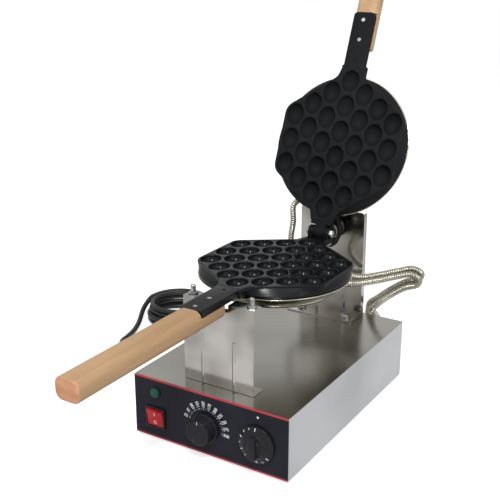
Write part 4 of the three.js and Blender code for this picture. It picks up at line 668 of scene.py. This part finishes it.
lower_exit, leave = dish_gland(LOWER, 6, 1)
lower_points = [
    lower_exit, lower_exit + leave * STRAIGHT_OUT, (18, 138, 190), (38, 145, 174), (62, 148, 171),
    (96, 154, 180), (124, 159, 190), (144, 163, 196), (156, 168, 190), (152, 173, 178),
    (130, 176, 168), (104, 180, 149), (78, 186, 126), (59, 201, 108), (50, 216, 86), (44, 222, 62),
    (44, BOX_BACK + STRAIGHT_OUT, 42), (44, BOX_BACK, 42)]
hose_piece("lower_hose", lower_points, "lower_conduit")

# %% [markdown]
# The lid's hose crosses two joints, the shaft and the lid's hinge, and one piece can only bend
# across one. It is made in two lengths that meet behind the hinge. Its route goes round the
# column's corner, so that the hose stays clear of it.

# %% The lid's hose in two lengths
COLUMN_CORNER = (-66, 157, 188)
BEHIND_HINGE = Vector((10, 139, 158))
upper_exit, leave = dish_gland(UPPER, 33, -1)
upper_points = [
    upper_exit, upper_exit + leave * STRAIGHT_OUT, (-67, 164, 237), (-70, 163, 213), COLUMN_CORNER,
    (-46, 147, 168), (-10, 141, 158), (30, 138, 158), (62, 137, 164), (96, 143, 174),
    (124, 149, 184), (145, 153, 190), (157, 158, 184), (153, 163, 172), (131, 166, 161),
    (105, 169, 141), (82, 174, 119), (69, 189, 103), (71, 206, 84), (76, 216, 60),
    (76, BOX_BACK + STRAIGHT_OUT, 42), (76, BOX_BACK, 42)]
line = smooth_route(upper_points, 3.3)
meeting = min(range(len(line)), key=lambda k: (line[k] - BEHIND_HINGE).length)
hose_piece("upper_hose_by_the_hinge", line[:meeting + 1], "upper_conduit")
hose_piece("upper_hose_by_the_box", line[meeting:], "upper_conduit")

# %% [markdown]
# The mould is the piece that makes this machine what it is: thirty half eggs in a six-sided block.
# One egg is a profile spun round and stretched to an oval. Thirty copies hang in the block's open
# top, and a triangle fill closes the flat face round all their rims at once.

# %% One mould's block of egg cells
CELL_COLUMN, CELL_ROW = 28.2, 40.5
CELLS = [(CELL_COLUMN * column, MOULD_Y + (row - (5 - abs(column)) / 2) * CELL_ROW)
         for column in range(-3, 4) for row in range(6 - abs(column))]
FACE = -0.4
EGG_WIDE, EGG_LONG, EGG_DEEP = 14.6, 17.2, 14
BLOCK_FOOT, BLOCK_SIDE = -5, 103.5
BLOCK_CORNERS = [(-BLOCK_SIDE, -52), (-24, -107), (-18.6, -124), (18.6, -124), (24, -107),
                 (BLOCK_SIDE, -52), (BLOCK_SIDE, 52), (24, 107), (18.6, 124), (-18.6, 124),
                 (-24, 107), (-BLOCK_SIDE, 52)]
CORNER_REACHES = [12, 6, 2.5, 2.5, 6, 12] * 2


def egg_block():
    outline = soft_outline([(x, y + MOULD_Y) for x, y in BLOCK_CORNERS], CORNER_REACHES)
    shape = plate(outline, BLOCK_FOOT, FACE, 1.6, 4, lower_edge=False)
    top = max(shape.faces, key=lambda face: face.calc_center_median().z + face.calc_area() * 1e-6)
    bottom = min(shape.faces, key=lambda face: face.calc_center_median().z)
    bmesh.ops.delete(shape, geom=[top, bottom], context='FACES_ONLY')
    lip = [(1.075, 0), (1.045, -0.10), (1.015, -0.40), (0.995, -1.0)]
    angles = [math.radians(degrees) for degrees in range(8, 90, 8)]
    bowl = [(math.cos(angle), -EGG_DEEP * math.sin(angle)) for angle in angles]
    egg = turn(lip + bowl + [(0, -EGG_DEEP)], 40)
    wells = []
    for x, y in CELLS:
        well = egg.copy()
        well.transform(Matrix.Translation((x, y, FACE))
                       @ Matrix.Diagonal((EGG_WIDE, EGG_LONG, 1, 1)))
        wells.append(well)
    egg.free()
    whole = joined(shape, *wells)
    rims = [e for e in whole.edges
            if len(e.link_faces) == 1 and all(abs(v.co.z - FACE) < 1e-3 for v in e.verts)]
    bmesh.ops.triangle_fill(whole, edges=rims, use_beauty=True, use_dissolve=False)
    bmesh.ops.recalc_face_normals(whole, faces=whole.faces)
    return whole


print("egg cells in one mould:", len(CELLS))

# %% [markdown]
# The egg cells reach down through the pan, the arm and the hinge's lugs, so each of these shapes
# is first cut by a set of eggs a hair larger than the wells. A Boolean modifier makes such a cut,
# and the result is taken as the new mesh.

# %% Cutting one shape out of another
def cut_away(shape, tool):
    whole = in_scene("whole", as_mesh("whole", shape))
    cutter = in_scene("tool", as_mesh("tool", tool))
    cutting = whole.modifiers.new("cut", 'BOOLEAN')
    cutting.operation, cutting.solver, cutting.object = 'DIFFERENCE', 'EXACT', cutter
    bpy.context.view_layer.update()
    result = bmesh.new()
    result.from_mesh(whole.evaluated_get(bpy.context.evaluated_depsgraph_get()).to_mesh())
    for item in (whole, cutter):
        data = item.data
        bpy.data.objects.remove(item)
        bpy.data.meshes.remove(data)
    return result


def eggs(cells):
    whole = []
    for x, y in cells:
        one = bmesh.new()
        bmesh.ops.create_uvsphere(one, u_segments=32, v_segments=16, radius=1)
        one.transform(Matrix.Translation((x, y, FACE))
                      @ Matrix.Diagonal((EGG_WIDE + 0.2, EGG_LONG + 0.2, EGG_DEEP + 0.25, 1)))
        whole.append(one)
    return joined(*whole)


print("cutting helpers ready")

# %% [markdown]
# Under the block lies the round pan that the heater warms. The casting's wall leans outwards from
# the six-sided block to the round pan, so it is a loft: a stack of rings, each with an outline of
# its own, joined by four-sided faces. The reach of the block's edge comes from the distances of
# its eight sides, blended by a high power so that the corners are rounded off.

# %% The pan
PAN_RADIUS, PAN_STATIONS = 111, 144
WALL_TOP, WALL_FOOT = -3.2, -12.5
BLOCK_SIDES = [(0, BLOCK_SIDE), (180, BLOCK_SIDE), (90, 109), (270, 109), (55.3, 101.6),
               (124.7, 101.6), (235.3, 101.6), (304.7, 101.6)]
SHARPNESS = 30


def block_reach(turned):
    nearness = sum(max(math.cos(turned - math.radians(side)), 0) ** SHARPNESS
                   / distance ** SHARPNESS for side, distance in BLOCK_SIDES)
    return nearness ** (-1 / SHARPNESS)


def pan():
    levels = [(WALL_TOP, None), (-6.3, None), (-9.4, None), (WALL_FOOT, PAN_RADIUS),
              (-14.6, 110.7), (-15.6, 109.9), (-16, 108.6)]
    shape = bmesh.new()
    loops = []
    for z, radius in levels:
        share = (z - WALL_FOOT) / (WALL_TOP - WALL_FOOT)
        loop = []
        for station in range(PAN_STATIONS):
            turned = math.tau * station / PAN_STATIONS
            reach = radius or PAN_RADIUS + (block_reach(turned) * 0.998 - PAN_RADIUS) * share
            loop.append(shape.verts.new((reach * math.cos(turned),
                                         reach * math.sin(turned) + MOULD_Y, z)))
        loops.append(loop)
    shape.faces.new(loops[0])
    shape.faces.new(loops[-1][::-1])
    for upper, lower in zip(loops, loops[1:]):
        for k in range(PAN_STATIONS):
            shape.faces.new((upper[k - 1], lower[k - 1], lower[k], upper[k]))
    bmesh.ops.recalc_face_normals(shape, faces=shape.faces)
    return shape


print("pan helper ready")

# %% [markdown]
# A flat arm, riveted to the grip, runs out of the front of the casting, with a thicker shoulder at
# its root and a shallow round mark in its top. Under the pan there is one more shallow step.

# %% The arm and its shoulder
ARM_HALF = 17.5
TIP_CELLS = [(x, y) for x, y in CELLS if abs(x) < 1 and abs(y - MOULD_Y) > 90]


def pan_and_arm():
    step = turn([(0, -18), (94, -18)] + arc(94, -16, 2, -90, 0, 3) + [(96, -15.5), (0, -15.5)],
                96, (0, MOULD_Y, 0))
    arm_outline = soft_outline([(-26, MOULD_Y - 96), (-ARM_HALF, MOULD_Y - 118),
                                (-ARM_HALF, MOULD_Y - 212), (ARM_HALF, MOULD_Y - 212),
                                (ARM_HALF, MOULD_Y - 118), (26, MOULD_Y - 96)], 6)
    arm = cut_away(plate(arm_outline, -11, FACE - 0.2, 1.3, 4), eggs(TIP_CELLS))
    arm = cut_away(arm, rod((0, MOULD_Y - 134, -1.5), UPWARDS, 3, 3, 0.3))
    shoulder = cut_away(bar((-20.5, MOULD_Y - 127, -13), (20.5, MOULD_Y - 100, -1.6), 2.0, 4),
                        eggs(TIP_CELLS))
    return [cut_away(pan(), eggs(CELLS)), step, arm, shoulder]


print("egg cells that reach into the arm and the lugs:", len(TIP_CELLS))

# %% [markdown]
# Lugs for the hinge stand at the casting's back. The lower mould has two, with a gap for the
# single one of the lid, and a round boss below them that takes the shaft. The lower bars start
# behind the place where the lid's lug comes to lie when it is shut.

# %% The hinge's two halves and the castings
LUG_RADIUS = 9.5
LUG_GAP = 9.6
lower_back = [cut_away(bar((-ARM_HALF, 85, -11), (ARM_HALF, 121.6, -0.6), 1.2), eggs(TIP_CELLS))]
for sign in (-1, 1):
    inner, outer = sorted((sign * LUG_GAP, sign * ARM_HALF))
    lower_back += [rod((inner, HINGE.y, HINGE.z), (1, 0, 0), LUG_RADIUS, outer - inner, 0.8),
                   bar((inner, 121.4, -11), (outer, 143, 5), 1.0)]
lower_back.append(turn([(0, 142), (16, 142)] + arc(16, 143, 1, -90, 0, 3)
                       + arc(16, 149, 1, 0, 90, 3) + [(0, 150)], axis=(0, 1, 0)))
upper_back = [cut_away(bar((-ARM_HALF, 85, -11), (ARM_HALF, 119.5, -0.6), 1.2), eggs(TIP_CELLS)),
              rod((-9, HINGE.y, -HINGE.z), (1, 0, 0), LUG_RADIUS, 18, 0.8),
              bar((-9, 116, -11), (9, HINGE.y, -1.0), 0.8)]
front_parts = joined(egg_block(), *pan_and_arm())
lower_casting = finish_piece("lower_casting", joined(front_parts.copy(), *lower_back), LOWER,
                             "mould_frame", "oiled_coating", ["lower_mould"], 32)
# The lid's casting takes the copy of the coating that is painted a shade lighter: painted light.
upper_casting = finish_piece("upper_casting", joined(front_parts, *upper_back), UPPER,
                             "lid", "lid_coating_painted_lighter", ["upper_mould"], 32)
print("casting faces:", len(lower_casting.data.polygons), len(upper_casting.data.polygons))

# %% [markdown]
# A spun dish of bright steel closes each mould's back and holds the heat in. It is one profile
# spun round, with a small lip that shows as a light line under the black pan. A screw in its
# middle holds it.

# %% Spun dishes and their screws
def dish():
    outer = ([(0, -39.3), (60, -39.3), (76, -39.1)] + arc(84, -31.6, 7.4, -80, -10, 6)
             + [(98.2, -26), (101.5, -22), (103.6, -19.2), (106, -18.1)])
    inner = [(100, -16.4), (98, -22), (92, -30), (84, -37.6), (60, -38.2), (0, -38.2)]
    return turn(outer + arc(111.2, -17.2, 0.8, -90, 90, 5) + inner, 96, (0, MOULD_Y, 0))


def dish_screw():
    return turn([(0, -44), (4.6, -44)] + arc(5.0, -42.6, 1.4, -70, 0, 4)
                + [(6.4, -39.6), (0, -39.6)], 32, (0, MOULD_Y, 0))


SIDES = (("lower", LOWER, "mould_frame"), ("upper", UPPER, "lid"))
for label, matrix, body in SIDES:
    finish_piece(f"{label}_dish", dish(), matrix, body, "dish_steel", [f"{label}_cover"],
                 40)
    plated(f"{label}_dish_screw", dish_screw(), matrix, body, f"{label}_cover_screw")
print("dishes made")

# %% [markdown]
# Each grip is a hardwood bar with generously rounded long edges. Its inner end is cut away to half
# its thickness so that the casting's arm lies flush in it. `cut_away` makes that rebate. Two
# rivets go through both.

# %% Grips
GRIP_HALF = 18
GRIP_START, GRIP_END = MOULD_Y - 157, MOULD_Y - 437


def grip():
    wood = bar((-GRIP_HALF, GRIP_END, -29.7), (GRIP_HALF, GRIP_START, -0.7), 2.6, 4, along=1,
               long_edge=10.5)
    return cut_away(wood, bar((-30, MOULD_Y - 212.3, -11.3), (30, GRIP_START + 5, 5)))


def rivet(reach):
    return turn([(0, -31.5)] + arc(1.7, -30.1, 1.5, -80, 0, 4)
                + [(3.3, -30.0), (2.2, -30.0), (2.2, -2.4), (3.3, -1.1)]
                + arc(2.85, -0.95, 0.45, 0, 90, 3) + [(0, -0.32)], 28, (0, MOULD_Y - reach, 0))


for label, matrix, body in SIDES:
    piece = finish_piece(f"{label}_grip", grip(), matrix, body, f"{label}_wood end_grain",
                         [f"{label}_handle"], 40)
    end_spot = matrix @ Vector((0, GRIP_END, -15))
    facing = (matrix.to_3x3() @ Vector((0, -1, 0))).normalized()
    for face in piece.data.polygons:
        if face.normal.dot(facing) > 0.6 and abs((face.center - end_spot).dot(facing)) < 3 * MM:
            face.material_index = 1
    for name, reach in (("outer", 200), ("inner", 168)):
        plated(f"{label}_{name}_grip_rivet", rivet(reach), matrix, body, f"{label}_{name}_rivet")
print("grips and rivets made")

# %% [markdown]
# The two dials are black mouldings. The left one is a plain fluted knob; the right one is a wide
# skirt with a bar to grip. Both are drawn about an axis that points out of the panel.

# %% Dials
OUT_OF_PANEL = Matrix.Rotation(math.radians(90), 4, 'X')
THERMOSTAT_X, TIMER_X, DIAL_HEIGHT = -4, 78, 46
FLUTES, FLUTE_DEPTH = 30, 0.022


def dial_place(x):
    return DRAWING @ Matrix.Translation((x, -HALF_DEPTH - 0.8, DIAL_HEIGHT)) @ OUT_OF_PANEL


def thermostat_knob():
    body = turn([(0, 0), (20.5, 0)] + arc(20.7, 1.0, 0.8, -90, 0, 3)
                + arc(20.7, 3.2, 0.8, 0, 80, 3) + [(19.6, 4.4), (19.0, 10), (18.3, 17)]
                + arc(16.8, 18.5, 1.5, 0, 90, 5) + [(14.6, 20)]
                + arc(14.6, 19.4, 0.6, 90, 170, 3) + [(13.4, 19.0), (0, 19.2)], 96)
    for k in range(FLUTES):
        for vert in body.verts:
            if 4.6 < vert.co.z < 19 and math.hypot(vert.co.x, vert.co.y) > 17.5:
                lean = math.atan2(vert.co.y, vert.co.x) - math.tau * k / FLUTES
                lean = abs((lean + math.pi) % math.tau - math.pi)
                if lean < math.tau / (4 * FLUTES):
                    shrink = 1 - FLUTE_DEPTH * math.cos(lean * FLUTES)
                    vert.co.x *= shrink
                    vert.co.y *= shrink
    return joined(body, bar((-0.9, 12.5, 18.6), (0.9, 18.6, 20.1), 0.3, 2))


def timer_knob():
    skirt = turn([(0, 0), (26, 0)] + arc(26.2, 0.8, 0.8, -90, 0, 3) + [(27, 2.4)]
                 + arc(26.2, 2.6, 0.8, 0, 80, 3) + [(19.5, 6.4), (17.8, 7.4)]
                 + arc(15.4, 8.0, 1.4, 0, 90, 4) + [(13, 9.8), (0, 10)], 96)
    bar_outline = soft_outline([(-6.4, -16.4), (6.4, -16.4), (5.2, 16.4), (-5.2, 16.4)], 3.6, 6)
    cap = turn([(0, 9.5), (10.5, 9.5), (9.6, 10.8)] + arc(8.6, 11.0, 1.0, 0, 90, 3) + [(0, 12)])
    return joined(skirt, plate(bar_outline, 7.6, 16.4, 1.4, 3, lower_edge=False), cap)


for label, x, shape in (("thermostat", THERMOSTAT_X, thermostat_knob()),
                        ("timer", TIMER_X, timer_knob())):
    finish_piece(f"{label}_dial_knob", shape, dial_place(x), f"{label}_dial", "black_plastic",
                 [f"{label}_knob"], 40)
print("dials made")

# %% [markdown]
# White marks are printed on the panel. Blender's own lettering makes plain numbers: each number is
# a text curve turned into a mesh and laid on the panel, a tenth of a millimetre proud. The scale
# runs clockwise round the left dial, with a dot under every number and a small one between.

# %% Marks printed on the panel
LETTER_SIZE, LETTER_RADIUS = 6.4, 33.6
DOT_RADIUS = 27.2
FIRST_NUMBER, LAST_NUMBER, NUMBER_STEP = 50, 300, 25
FIRST_ANGLE, ANGLE_STEP = 163, 16.9


def number(text, size):
    letters = bpy.data.curves.new("number", 'FONT')
    letters.body, letters.size = text, size
    letters.align_x, letters.align_y = 'CENTER', 'CENTER'
    letters.extrude, letters.offset = 0.06, 0.09
    item = in_scene("number", letters)
    bpy.context.view_layer.update()
    shape = bmesh.new()
    shape.from_mesh(item.evaluated_get(bpy.context.evaluated_depsgraph_get()).to_mesh())
    bpy.data.objects.remove(item)
    bpy.data.curves.remove(letters)
    return shape


def on_panel(shape, x, z, turned=0.0):
    shape.transform(Matrix.Translation((x, -HALF_DEPTH - 0.1, z)) @ OUT_OF_PANEL
                    @ Matrix.Rotation(turned, 4, 'Z'))
    return shape


def round_the_dial(shape, radius, angle, turned=0.0):
    return on_panel(shape, THERMOSTAT_X + radius * math.cos(angle),
                    DIAL_HEIGHT + radius * math.sin(angle), turned)


def dot(radius):
    return turn([(0, 0), (radius, 0), (radius, 0.06), (0, 0.06)], 14)


marks = []
for count, label in enumerate(range(FIRST_NUMBER, LAST_NUMBER + 1, NUMBER_STEP)):
    angle = math.radians(FIRST_ANGLE - count * ANGLE_STEP)
    marks.append(round_the_dial(number(str(label), LETTER_SIZE), LETTER_RADIUS, angle, angle))
    marks.append(round_the_dial(dot(0.75), DOT_RADIUS, angle))
    if label < LAST_NUMBER:
        marks.append(round_the_dial(dot(0.45), DOT_RADIUS, angle - math.radians(ANGLE_STEP / 2)))
marks.append(on_panel(dot(1.6), TIMER_X + 1, 85.4))
printed("panel_print", marks, DRAWING, "base")
print("marks on the panel:", len(marks))

# %% [markdown]
# The marks on the dials turn with them. The timer's ticks lie on the slope of its skirt, so each
# is a thin bar that is leaned back and then turned about the axis. The left knob has one pointer
# line.

# %% Marks printed on the dials
TICKS, TICK_STEP, LONG_TICKS = 11, 23.2, (0, 3, 5, 8, 10)
SLOPE_RADIUS, SLOPE_HEIGHT, SLOPE = 23.4, 4.72, math.radians(-24)
ticks = []
for count in range(TICKS):
    half, start = (0.65, 21.2) if count in LONG_TICKS else (0.45, 23.0)
    tick = bar((-half, start, -0.05), (half, 25.6, 0.09), 0.02, 1)
    tick.transform(Matrix.Rotation(math.radians(count * TICK_STEP), 4, 'Z')
                   @ Matrix.Translation((0, SLOPE_RADIUS, SLOPE_HEIGHT))
                   @ Matrix.Rotation(SLOPE, 4, 'X') @ Matrix.Translation((0, -SLOPE_RADIUS, 0)))
    ticks.append(tick)
printed("timer_ticks", ticks, dial_place(TIMER_X), "timer_dial")
pointer = bar((-0.5, 13.2, 0), (0.5, 17.8, 0.08), 0.02, 1)
pointer.transform(Matrix.Translation((0, 0, 20.12)))
printed("thermostat_pointer_line", [pointer], dial_place(THERMOSTAT_X), "thermostat_dial")
print("marks on the dials:", len(ticks) + 1)

# %% [markdown]
# The signal lamp is a green lens in a black ring. The lens is a dome with a few shallow steps in
# its face, which catch the light as the real one's prisms do.

# %% Signal lamp
LAMP = DRAWING @ Matrix.Translation((-88, -HALF_DEPTH, 75.5)) @ OUT_OF_PANEL
ring = turn([(6.2, 0.3), (8.4, 0.3)] + arc(7.8, 1.3, 0.6, 0, 90, 4) + [(6.6, 1.9), (6.2, 1.5)])
ring_base = turn([(0, -26), (6, -26), (6, 1.2), (0, 1.2)], 32)
finish_piece("lamp_ring", joined(ring, ring_base), LAMP, "base", "black_plastic", ["lamp_bezel"])
lens = turn([(0, 1.3), (6.6, 1.3), (6.6, 2.8)] + arc(5.2, 2.9, 1.6, 0, 60, 5)
            + [(4.2, 4.6), (3.6, 4.4), (3.0, 5.0), (1.6, 5.3), (0, 5.4)])
finish_piece("lamp_lens_cap", lens, LAMP, "base", "green_lens", ["lamp_lens"])
print("signal lamp made")

# %% [markdown]
# The power switch is a black frame that clips into the panel, with a red rocker between its sides.
# The frame is a rounded plate with an opening cut through it, on a hollow body.

# %% The frame of the power switch
SWITCH_X, SWITCH_HEIGHT = -89, 36.5
SWITCH = Matrix.Translation((SWITCH_X, -HALF_DEPTH - 0.3, SWITCH_HEIGHT)) @ OUT_OF_PANEL
frame_corners = [(-16.8, -16.1), (16.8, -16.1), (16.8, 16.1), (-16.8, 16.1)]
rim = cut_away(plate(soft_outline(frame_corners, 2.4, 5), 0, 2.4, 0.8, 3, lower_edge=False),
               bar((-14.0, -13.3, -5), (14.0, 13.3, 10)))
housing = cut_away(bar((-15.2, -14.5, -24), (15.2, 14.5, 1.6)),
                   bar((-14.0, -13.3, -22.8), (14.0, 13.3, 5)))
finish_piece("switch_frame", joined(rim, housing), DRAWING @ SWITCH, "base", "black_plastic",
             ["switch_housing"], 30)
print("switch frame made")

# %% [markdown]
# The rocker's face is bent like a shallow roof, and it is pressed in at the bottom. It is drawn
# from the side, raised to its width and then turned to face forwards. Its hidden edge is round,
# about the pin that it rocks on. A bar and a ring are moulded on it in white.

# %% The rocker
ROCKER = (DRAWING @ Matrix.Translation((SWITCH_X, -HALF_DEPTH + 0.8, SWITCH_HEIGHT))
          @ Matrix.Rotation(math.radians(8), 4, 'X') @ OUT_OF_PANEL)
ROCKER_RADIUS, ROCKER_HALF = 13.0, 13.5
side_profile = [(12.2, 4.5), (6, 3.9), (0, 3.5), (-6, 3.9), (-12.2, 4.5)]
side_profile += [(ROCKER_RADIUS * math.cos(math.radians(degrees)),
                  ROCKER_RADIUS * math.sin(math.radians(degrees)))
                 for degrees in (170, 180, 190, 200, 207, 333, 340, 350, 0, 10)]
rocker = plate(side_profile, -ROCKER_HALF, ROCKER_HALF, 0.5, 3)
rocker.transform(Matrix(((0, 0, 1, 0), (1, 0, 0, 0), (0, 1, 0, 0), (0, 0, 0, 1))))
finish_piece("power_rocker_cap", rocker, ROCKER, "power_rocker", "red_plastic", ["switch_rocker"],
             30)
on_bar = bar((-0.55, 4.3, 3.9), (0.55, 9.3, 4.35), 0.1, 1)
off_ring = turn([(1.75, 0), (2.65, 0), (2.65, 0.3), (1.75, 0.3), (1.75, 0)], 32)
off_ring.transform(Matrix.Translation((0, -6.8, 3.86))
                   @ Matrix.Rotation(math.radians(-5.5), 4, 'X'))
printed("rocker_marks", [on_bar, off_ring], ROCKER, "power_rocker")
print("rocker made")

# %% [markdown]
# The hinge pin, the shaft's nut and its washer are turned or six-sided steel. They are small, but
# they are what tells a real hinge from a drawing of one.

# %% Hinge pin, shaft and its nut
ALONG_X, ALONG_Y = (1, 0, 0), (0, 1, 0)
PIN_END, HEAD_HEIGHT = 17.7, 4.5


def pin_head(sign):
    x, tip_x = sign * PIN_END, sign * (PIN_END + HEAD_HEIGHT - 0.3)
    return [hexagon((x, HINGE.y, HINGE.z), (sign, 0, 0), 6.5, HEAD_HEIGHT),
            rod((tip_x, HINGE.y, HINGE.z), (sign, 0, 0), 3.4, 1.6, 0.6, 24)]


pin = joined(rod((-17.9, HINGE.y, HINGE.z), ALONG_X, 4, 35.8, 0.3), *pin_head(1), *pin_head(-1))
shaft = turn([(0, 143.5), (9.6, 143.5), (10, 144), (10, 158.2)] + arc(14.4, 158.8, 0.6, -90, 0, 3)
             + arc(14.4, 161.6, 0.6, 0, 90, 3)
             + [(10, 162.2), (10, 190.8), (9.2, 191.6), (0, 191.6)], 40, axis=ALONG_Y)
washer = turn([(10.1, 174.3), (14.9, 174.3), (15.2, 174.6), (15.2, 176.0), (14.9, 176.3),
               (10.1, 176.3)], 40, axis=ALONG_Y)
nut = hexagon((0, 176.6, 0), ALONG_Y, 14.5, 9)
for name, shape, node in (("hinge_pin_bolt", pin, "hinge_pin"), ("shaft", shaft, "turning_shaft"),
                          ("shaft_washer_disc", washer, "shaft_washer"),
                          ("shaft_lock_nut", nut, "shaft_nut")):
    plated(name, shape, LOWER, "mould_frame", node)
print("hinge and shaft made")

# %% [markdown]
# Bolts and screws on the sheet metal. A column bolt is a hexagon with a washer face. A bracket
# screw is a low dome with a cross slot, cut by two thin bars. The two studs that the closed moulds
# rest on stand on the bracket's folded top, each in a six-sided nut.

# %% Bolts, screws and rest studs
COLUMN_BOLT = Vector((40, 150, 98.1))
BRACKET_SCREW = Vector((40, -144.9, 97.9))
REST_STUD = Vector((46.7, -147.5, 0))
SHANK = 8


def hex_bolt(centre):
    return joined(hexagon(centre, UPWARDS, 7.0, 5.0), rod(centre, UPWARDS, 7.0 * 1.12, 0.9, 0.25),
                  rod(centre - UPWARDS * SHANK, UPWARDS, 3, SHANK + 0.5, 0.4, 20))


def cross_screw(centre, turned):
    dome = turn([(0, -7), (2.4, -7), (2.4, 0), (5.2, 0)] + arc(4.6, 0.9, 0.9, -50, 40, 4)
                + [(3.6, 2.3), (2.0, 2.6), (0, 2.65)], 32, centre)
    for half_x, half_y in ((3.2, 0.55), (0.55, 3.2)):
        slot = bar((-half_x, -half_y, 1.5), (half_x, half_y, 4))
        slot.transform(Matrix.Translation(centre) @ Matrix.Rotation(turned, 4, 'Z'))
        dome = cut_away(dome, slot)
    return dome


def rest_stud(centre):
    stud = turn([(0, 208), (3, 208), (3, 219), (3.6, 222), (3.6, 231.6)]
                + arc(2.2, 231.6, 1.4, 0, 90, 4) + [(0, 233)], 32, centre)
    return joined(hexagon(centre + UPWARDS * 219.6, UPWARDS, 7.0, 3.0), stud)


for label, sign in (("left", -1), ("right", 1)):
    mirror = Matrix.Diagonal((sign, 1, 1))
    plated(f"column_{label}_hex_bolt", hex_bolt(mirror @ COLUMN_BOLT), DRAWING, "base",
           f"column_bolt_{label}")
    plated(f"bracket_{label}_screw", cross_screw(mirror @ BRACKET_SCREW, 0.4 + sign), DRAWING,
           "base", f"front_bracket_screw_{label}")
    plated(f"rest_{label}_stud", rest_stud(mirror @ REST_STUD), DRAWING, "base",
           f"rest_pin_{label}")
print("fasteners made")

# %% [markdown]
# The folded sheets, the feet and the units inside keep the CAD solids themselves, because those
# are already the right shape. A solid's mesh is loose triangles, so a Weld modifier joins them, a
# Bevel modifier breaks each sharp fold by a fraction of a millimetre, and the faces are shaded
# smooth.

# %% Solids that keep their own shape
WELD_REACH = 0.005 * MM
FOLD_ANGLE = math.radians(35)


def dress(node, finish, edge, segments):
    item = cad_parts[node]
    item.data.materials.clear()
    item.data.materials.append(FINISHES[finish])
    weld = item.modifiers.new("weld", 'WELD')
    weld.merge_threshold = WELD_REACH
    if edge:
        bevel = item.modifiers.new("edge", 'BEVEL')
        bevel.width, bevel.segments = edge * MM, segments
        bevel.limit_method, bevel.angle_limit = 'ANGLE', FOLD_ANGLE
    item.data.polygons.foreach_set("use_smooth", [True] * len(item.data.polygons))
    item.modifiers.new("flat_faces", 'WEIGHTED_NORMAL').keep_sharp = True


for nodes, finish, edge, segments in (
        ("base_shell", "satin_steel", 0.6, 3), ("bottom_plate", "satin_steel", 0.2, 1),
        ("control_panel", "panel_paint", 0.15, 2),
        ("front_bracket rear_column", "bright_steel", 0.35, 2),
        ("bearing_housing", "cast_paint", 0.5, 2), ("bearing_bush", "bronze", 0.2, 1),
        ("bearing_bolt_upper bearing_bolt_lower lower_gland upper_gland", "zinc", 0.2, 2),
        ("conduit_gland_left conduit_gland_right", "zinc", 0.2, 2),
        ("cord_gland", "black_plastic", 0.2, 2),
        ("thermostat_unit thermostat_spindle timer_spindle", "zinc", 0.2, 1),
        ("timer_unit terminal_block", "cream_plastic", 0.3, 1),
        ("lower_heating_element upper_heating_element", "dark_steel", 0, 1),
        ("rubber_foot_1 rubber_foot_2 rubber_foot_3 rubber_foot_4", "black_rubber", 0.4, 2)):
    for node in nodes.split():
        dress(node, finish, edge, segments)
print("solids dressed:", sum("flat_faces" in item.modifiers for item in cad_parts.values()))

# %% [markdown]
# The part stands on a pale floor that takes its soft shadow. To the camera the floor is lifted
# towards white, and in mirrors it glows, so that shiny steel shows a bright surface below it.

# %% Floor
FLOOR_HALF, FLOOR_DROP = 4, 0.0002
FLOOR_IN_MIRRORS, FLOOR_LIFT = 0.92, 0.52
WHITE = (1, 1, 1, 1)


def seen_in_mirrors(tree, ray):
    return math_of(tree, 'MAXIMUM', ray["Is Glossy Ray"], ray["Is Transmission Ray"])


tree, shader = new_finish("pale_floor", (0.86, 0.86, 0.86), 0.7)
ray = add_node(tree, "LightPath").outputs
glow = add_node(tree, "Emission", {"Color": WHITE, "Strength": FLOOR_IN_MIRRORS}).outputs[0]
plain = add_node(tree, "MixShader", {0: seen_in_mirrors(tree, ray), 1: shader.outputs[0],
                                     2: glow}).outputs[0]
lift = add_node(tree, "Emission", {"Strength": FLOOR_LIFT}).outputs[0]
lifted = add_node(tree, "AddShader", {0: plain, 1: lift}).outputs[0]
floor_look = add_node(tree, "MixShader", {0: ray["Is Camera Ray"], 1: plain, 2: lifted})
tree.links.new(floor_look.outputs[0], tree.nodes["Material Output"].inputs["Surface"])
floor_shape = bmesh.new()
bmesh.ops.create_grid(floor_shape, x_segments=1, y_segments=1, size=FLOOR_HALF)
floor = in_scene("floor", as_mesh("floor", floor_shape))
floor.location.z = -FLOOR_DROP
floor.data.materials.append(FINISHES["pale_floor"])
print("floor laid")

# %% [markdown]
# The room is white to the camera. In reflections and where it lights the object it is dimmer,
# which leaves the steel grey and the black castings black.

# %% Room
ROOM_LIGHT, MORE_TO_CAMERA, MORE_IN_MIRRORS = 0.5, 0.5, 0.3
world = bpy.data.worlds.new("white_room")
bpy.context.scene.world = world
world.use_nodes = True
tree = world.node_tree
ray = add_node(tree, "LightPath").outputs
room = math_of(tree, 'MULTIPLY_ADD', ray["Is Camera Ray"], MORE_TO_CAMERA, ROOM_LIGHT)
strength = math_of(tree, 'MULTIPLY_ADD', seen_in_mirrors(tree, ray), MORE_IN_MIRRORS, room)
background = tree.nodes["Background"]
background.inputs["Color"].default_value = WHITE
tree.links.new(strength, background.inputs["Strength"])
print("room ready")

# %% [markdown]
# Three soft lamps shape the object: a large one from the photographer's left, one from the right,
# and a small strong one near the camera and above it. The small one puts the highlight into each
# oiled egg cell.

# %% Lamps
def soft_lamp(name, spot, aim, size, power):
    data = bpy.data.lights.new(name, 'AREA')
    data.shape = 'RECTANGLE'
    data.size, data.size_y = size
    data.energy = power
    lamp = in_scene(name, data)
    lamp.location = spot
    lamp.rotation_euler = (Vector(aim) - Vector(spot)).to_track_quat('-Z', 'Y').to_euler()


soft_lamp("key_lamp", (-0.9, -1.6, 1.9), (0, 0, 0.25), (1.6, 1.6), 8)
soft_lamp("side_lamp", (1.8, -0.4, 1.2), (0, 0, 0.25), (0.9, 1.4), 10)
soft_lamp("window_lamp", (0.50, -0.84, 1.45), (0, 0, 0.24), (0.14, 0.36), 20)
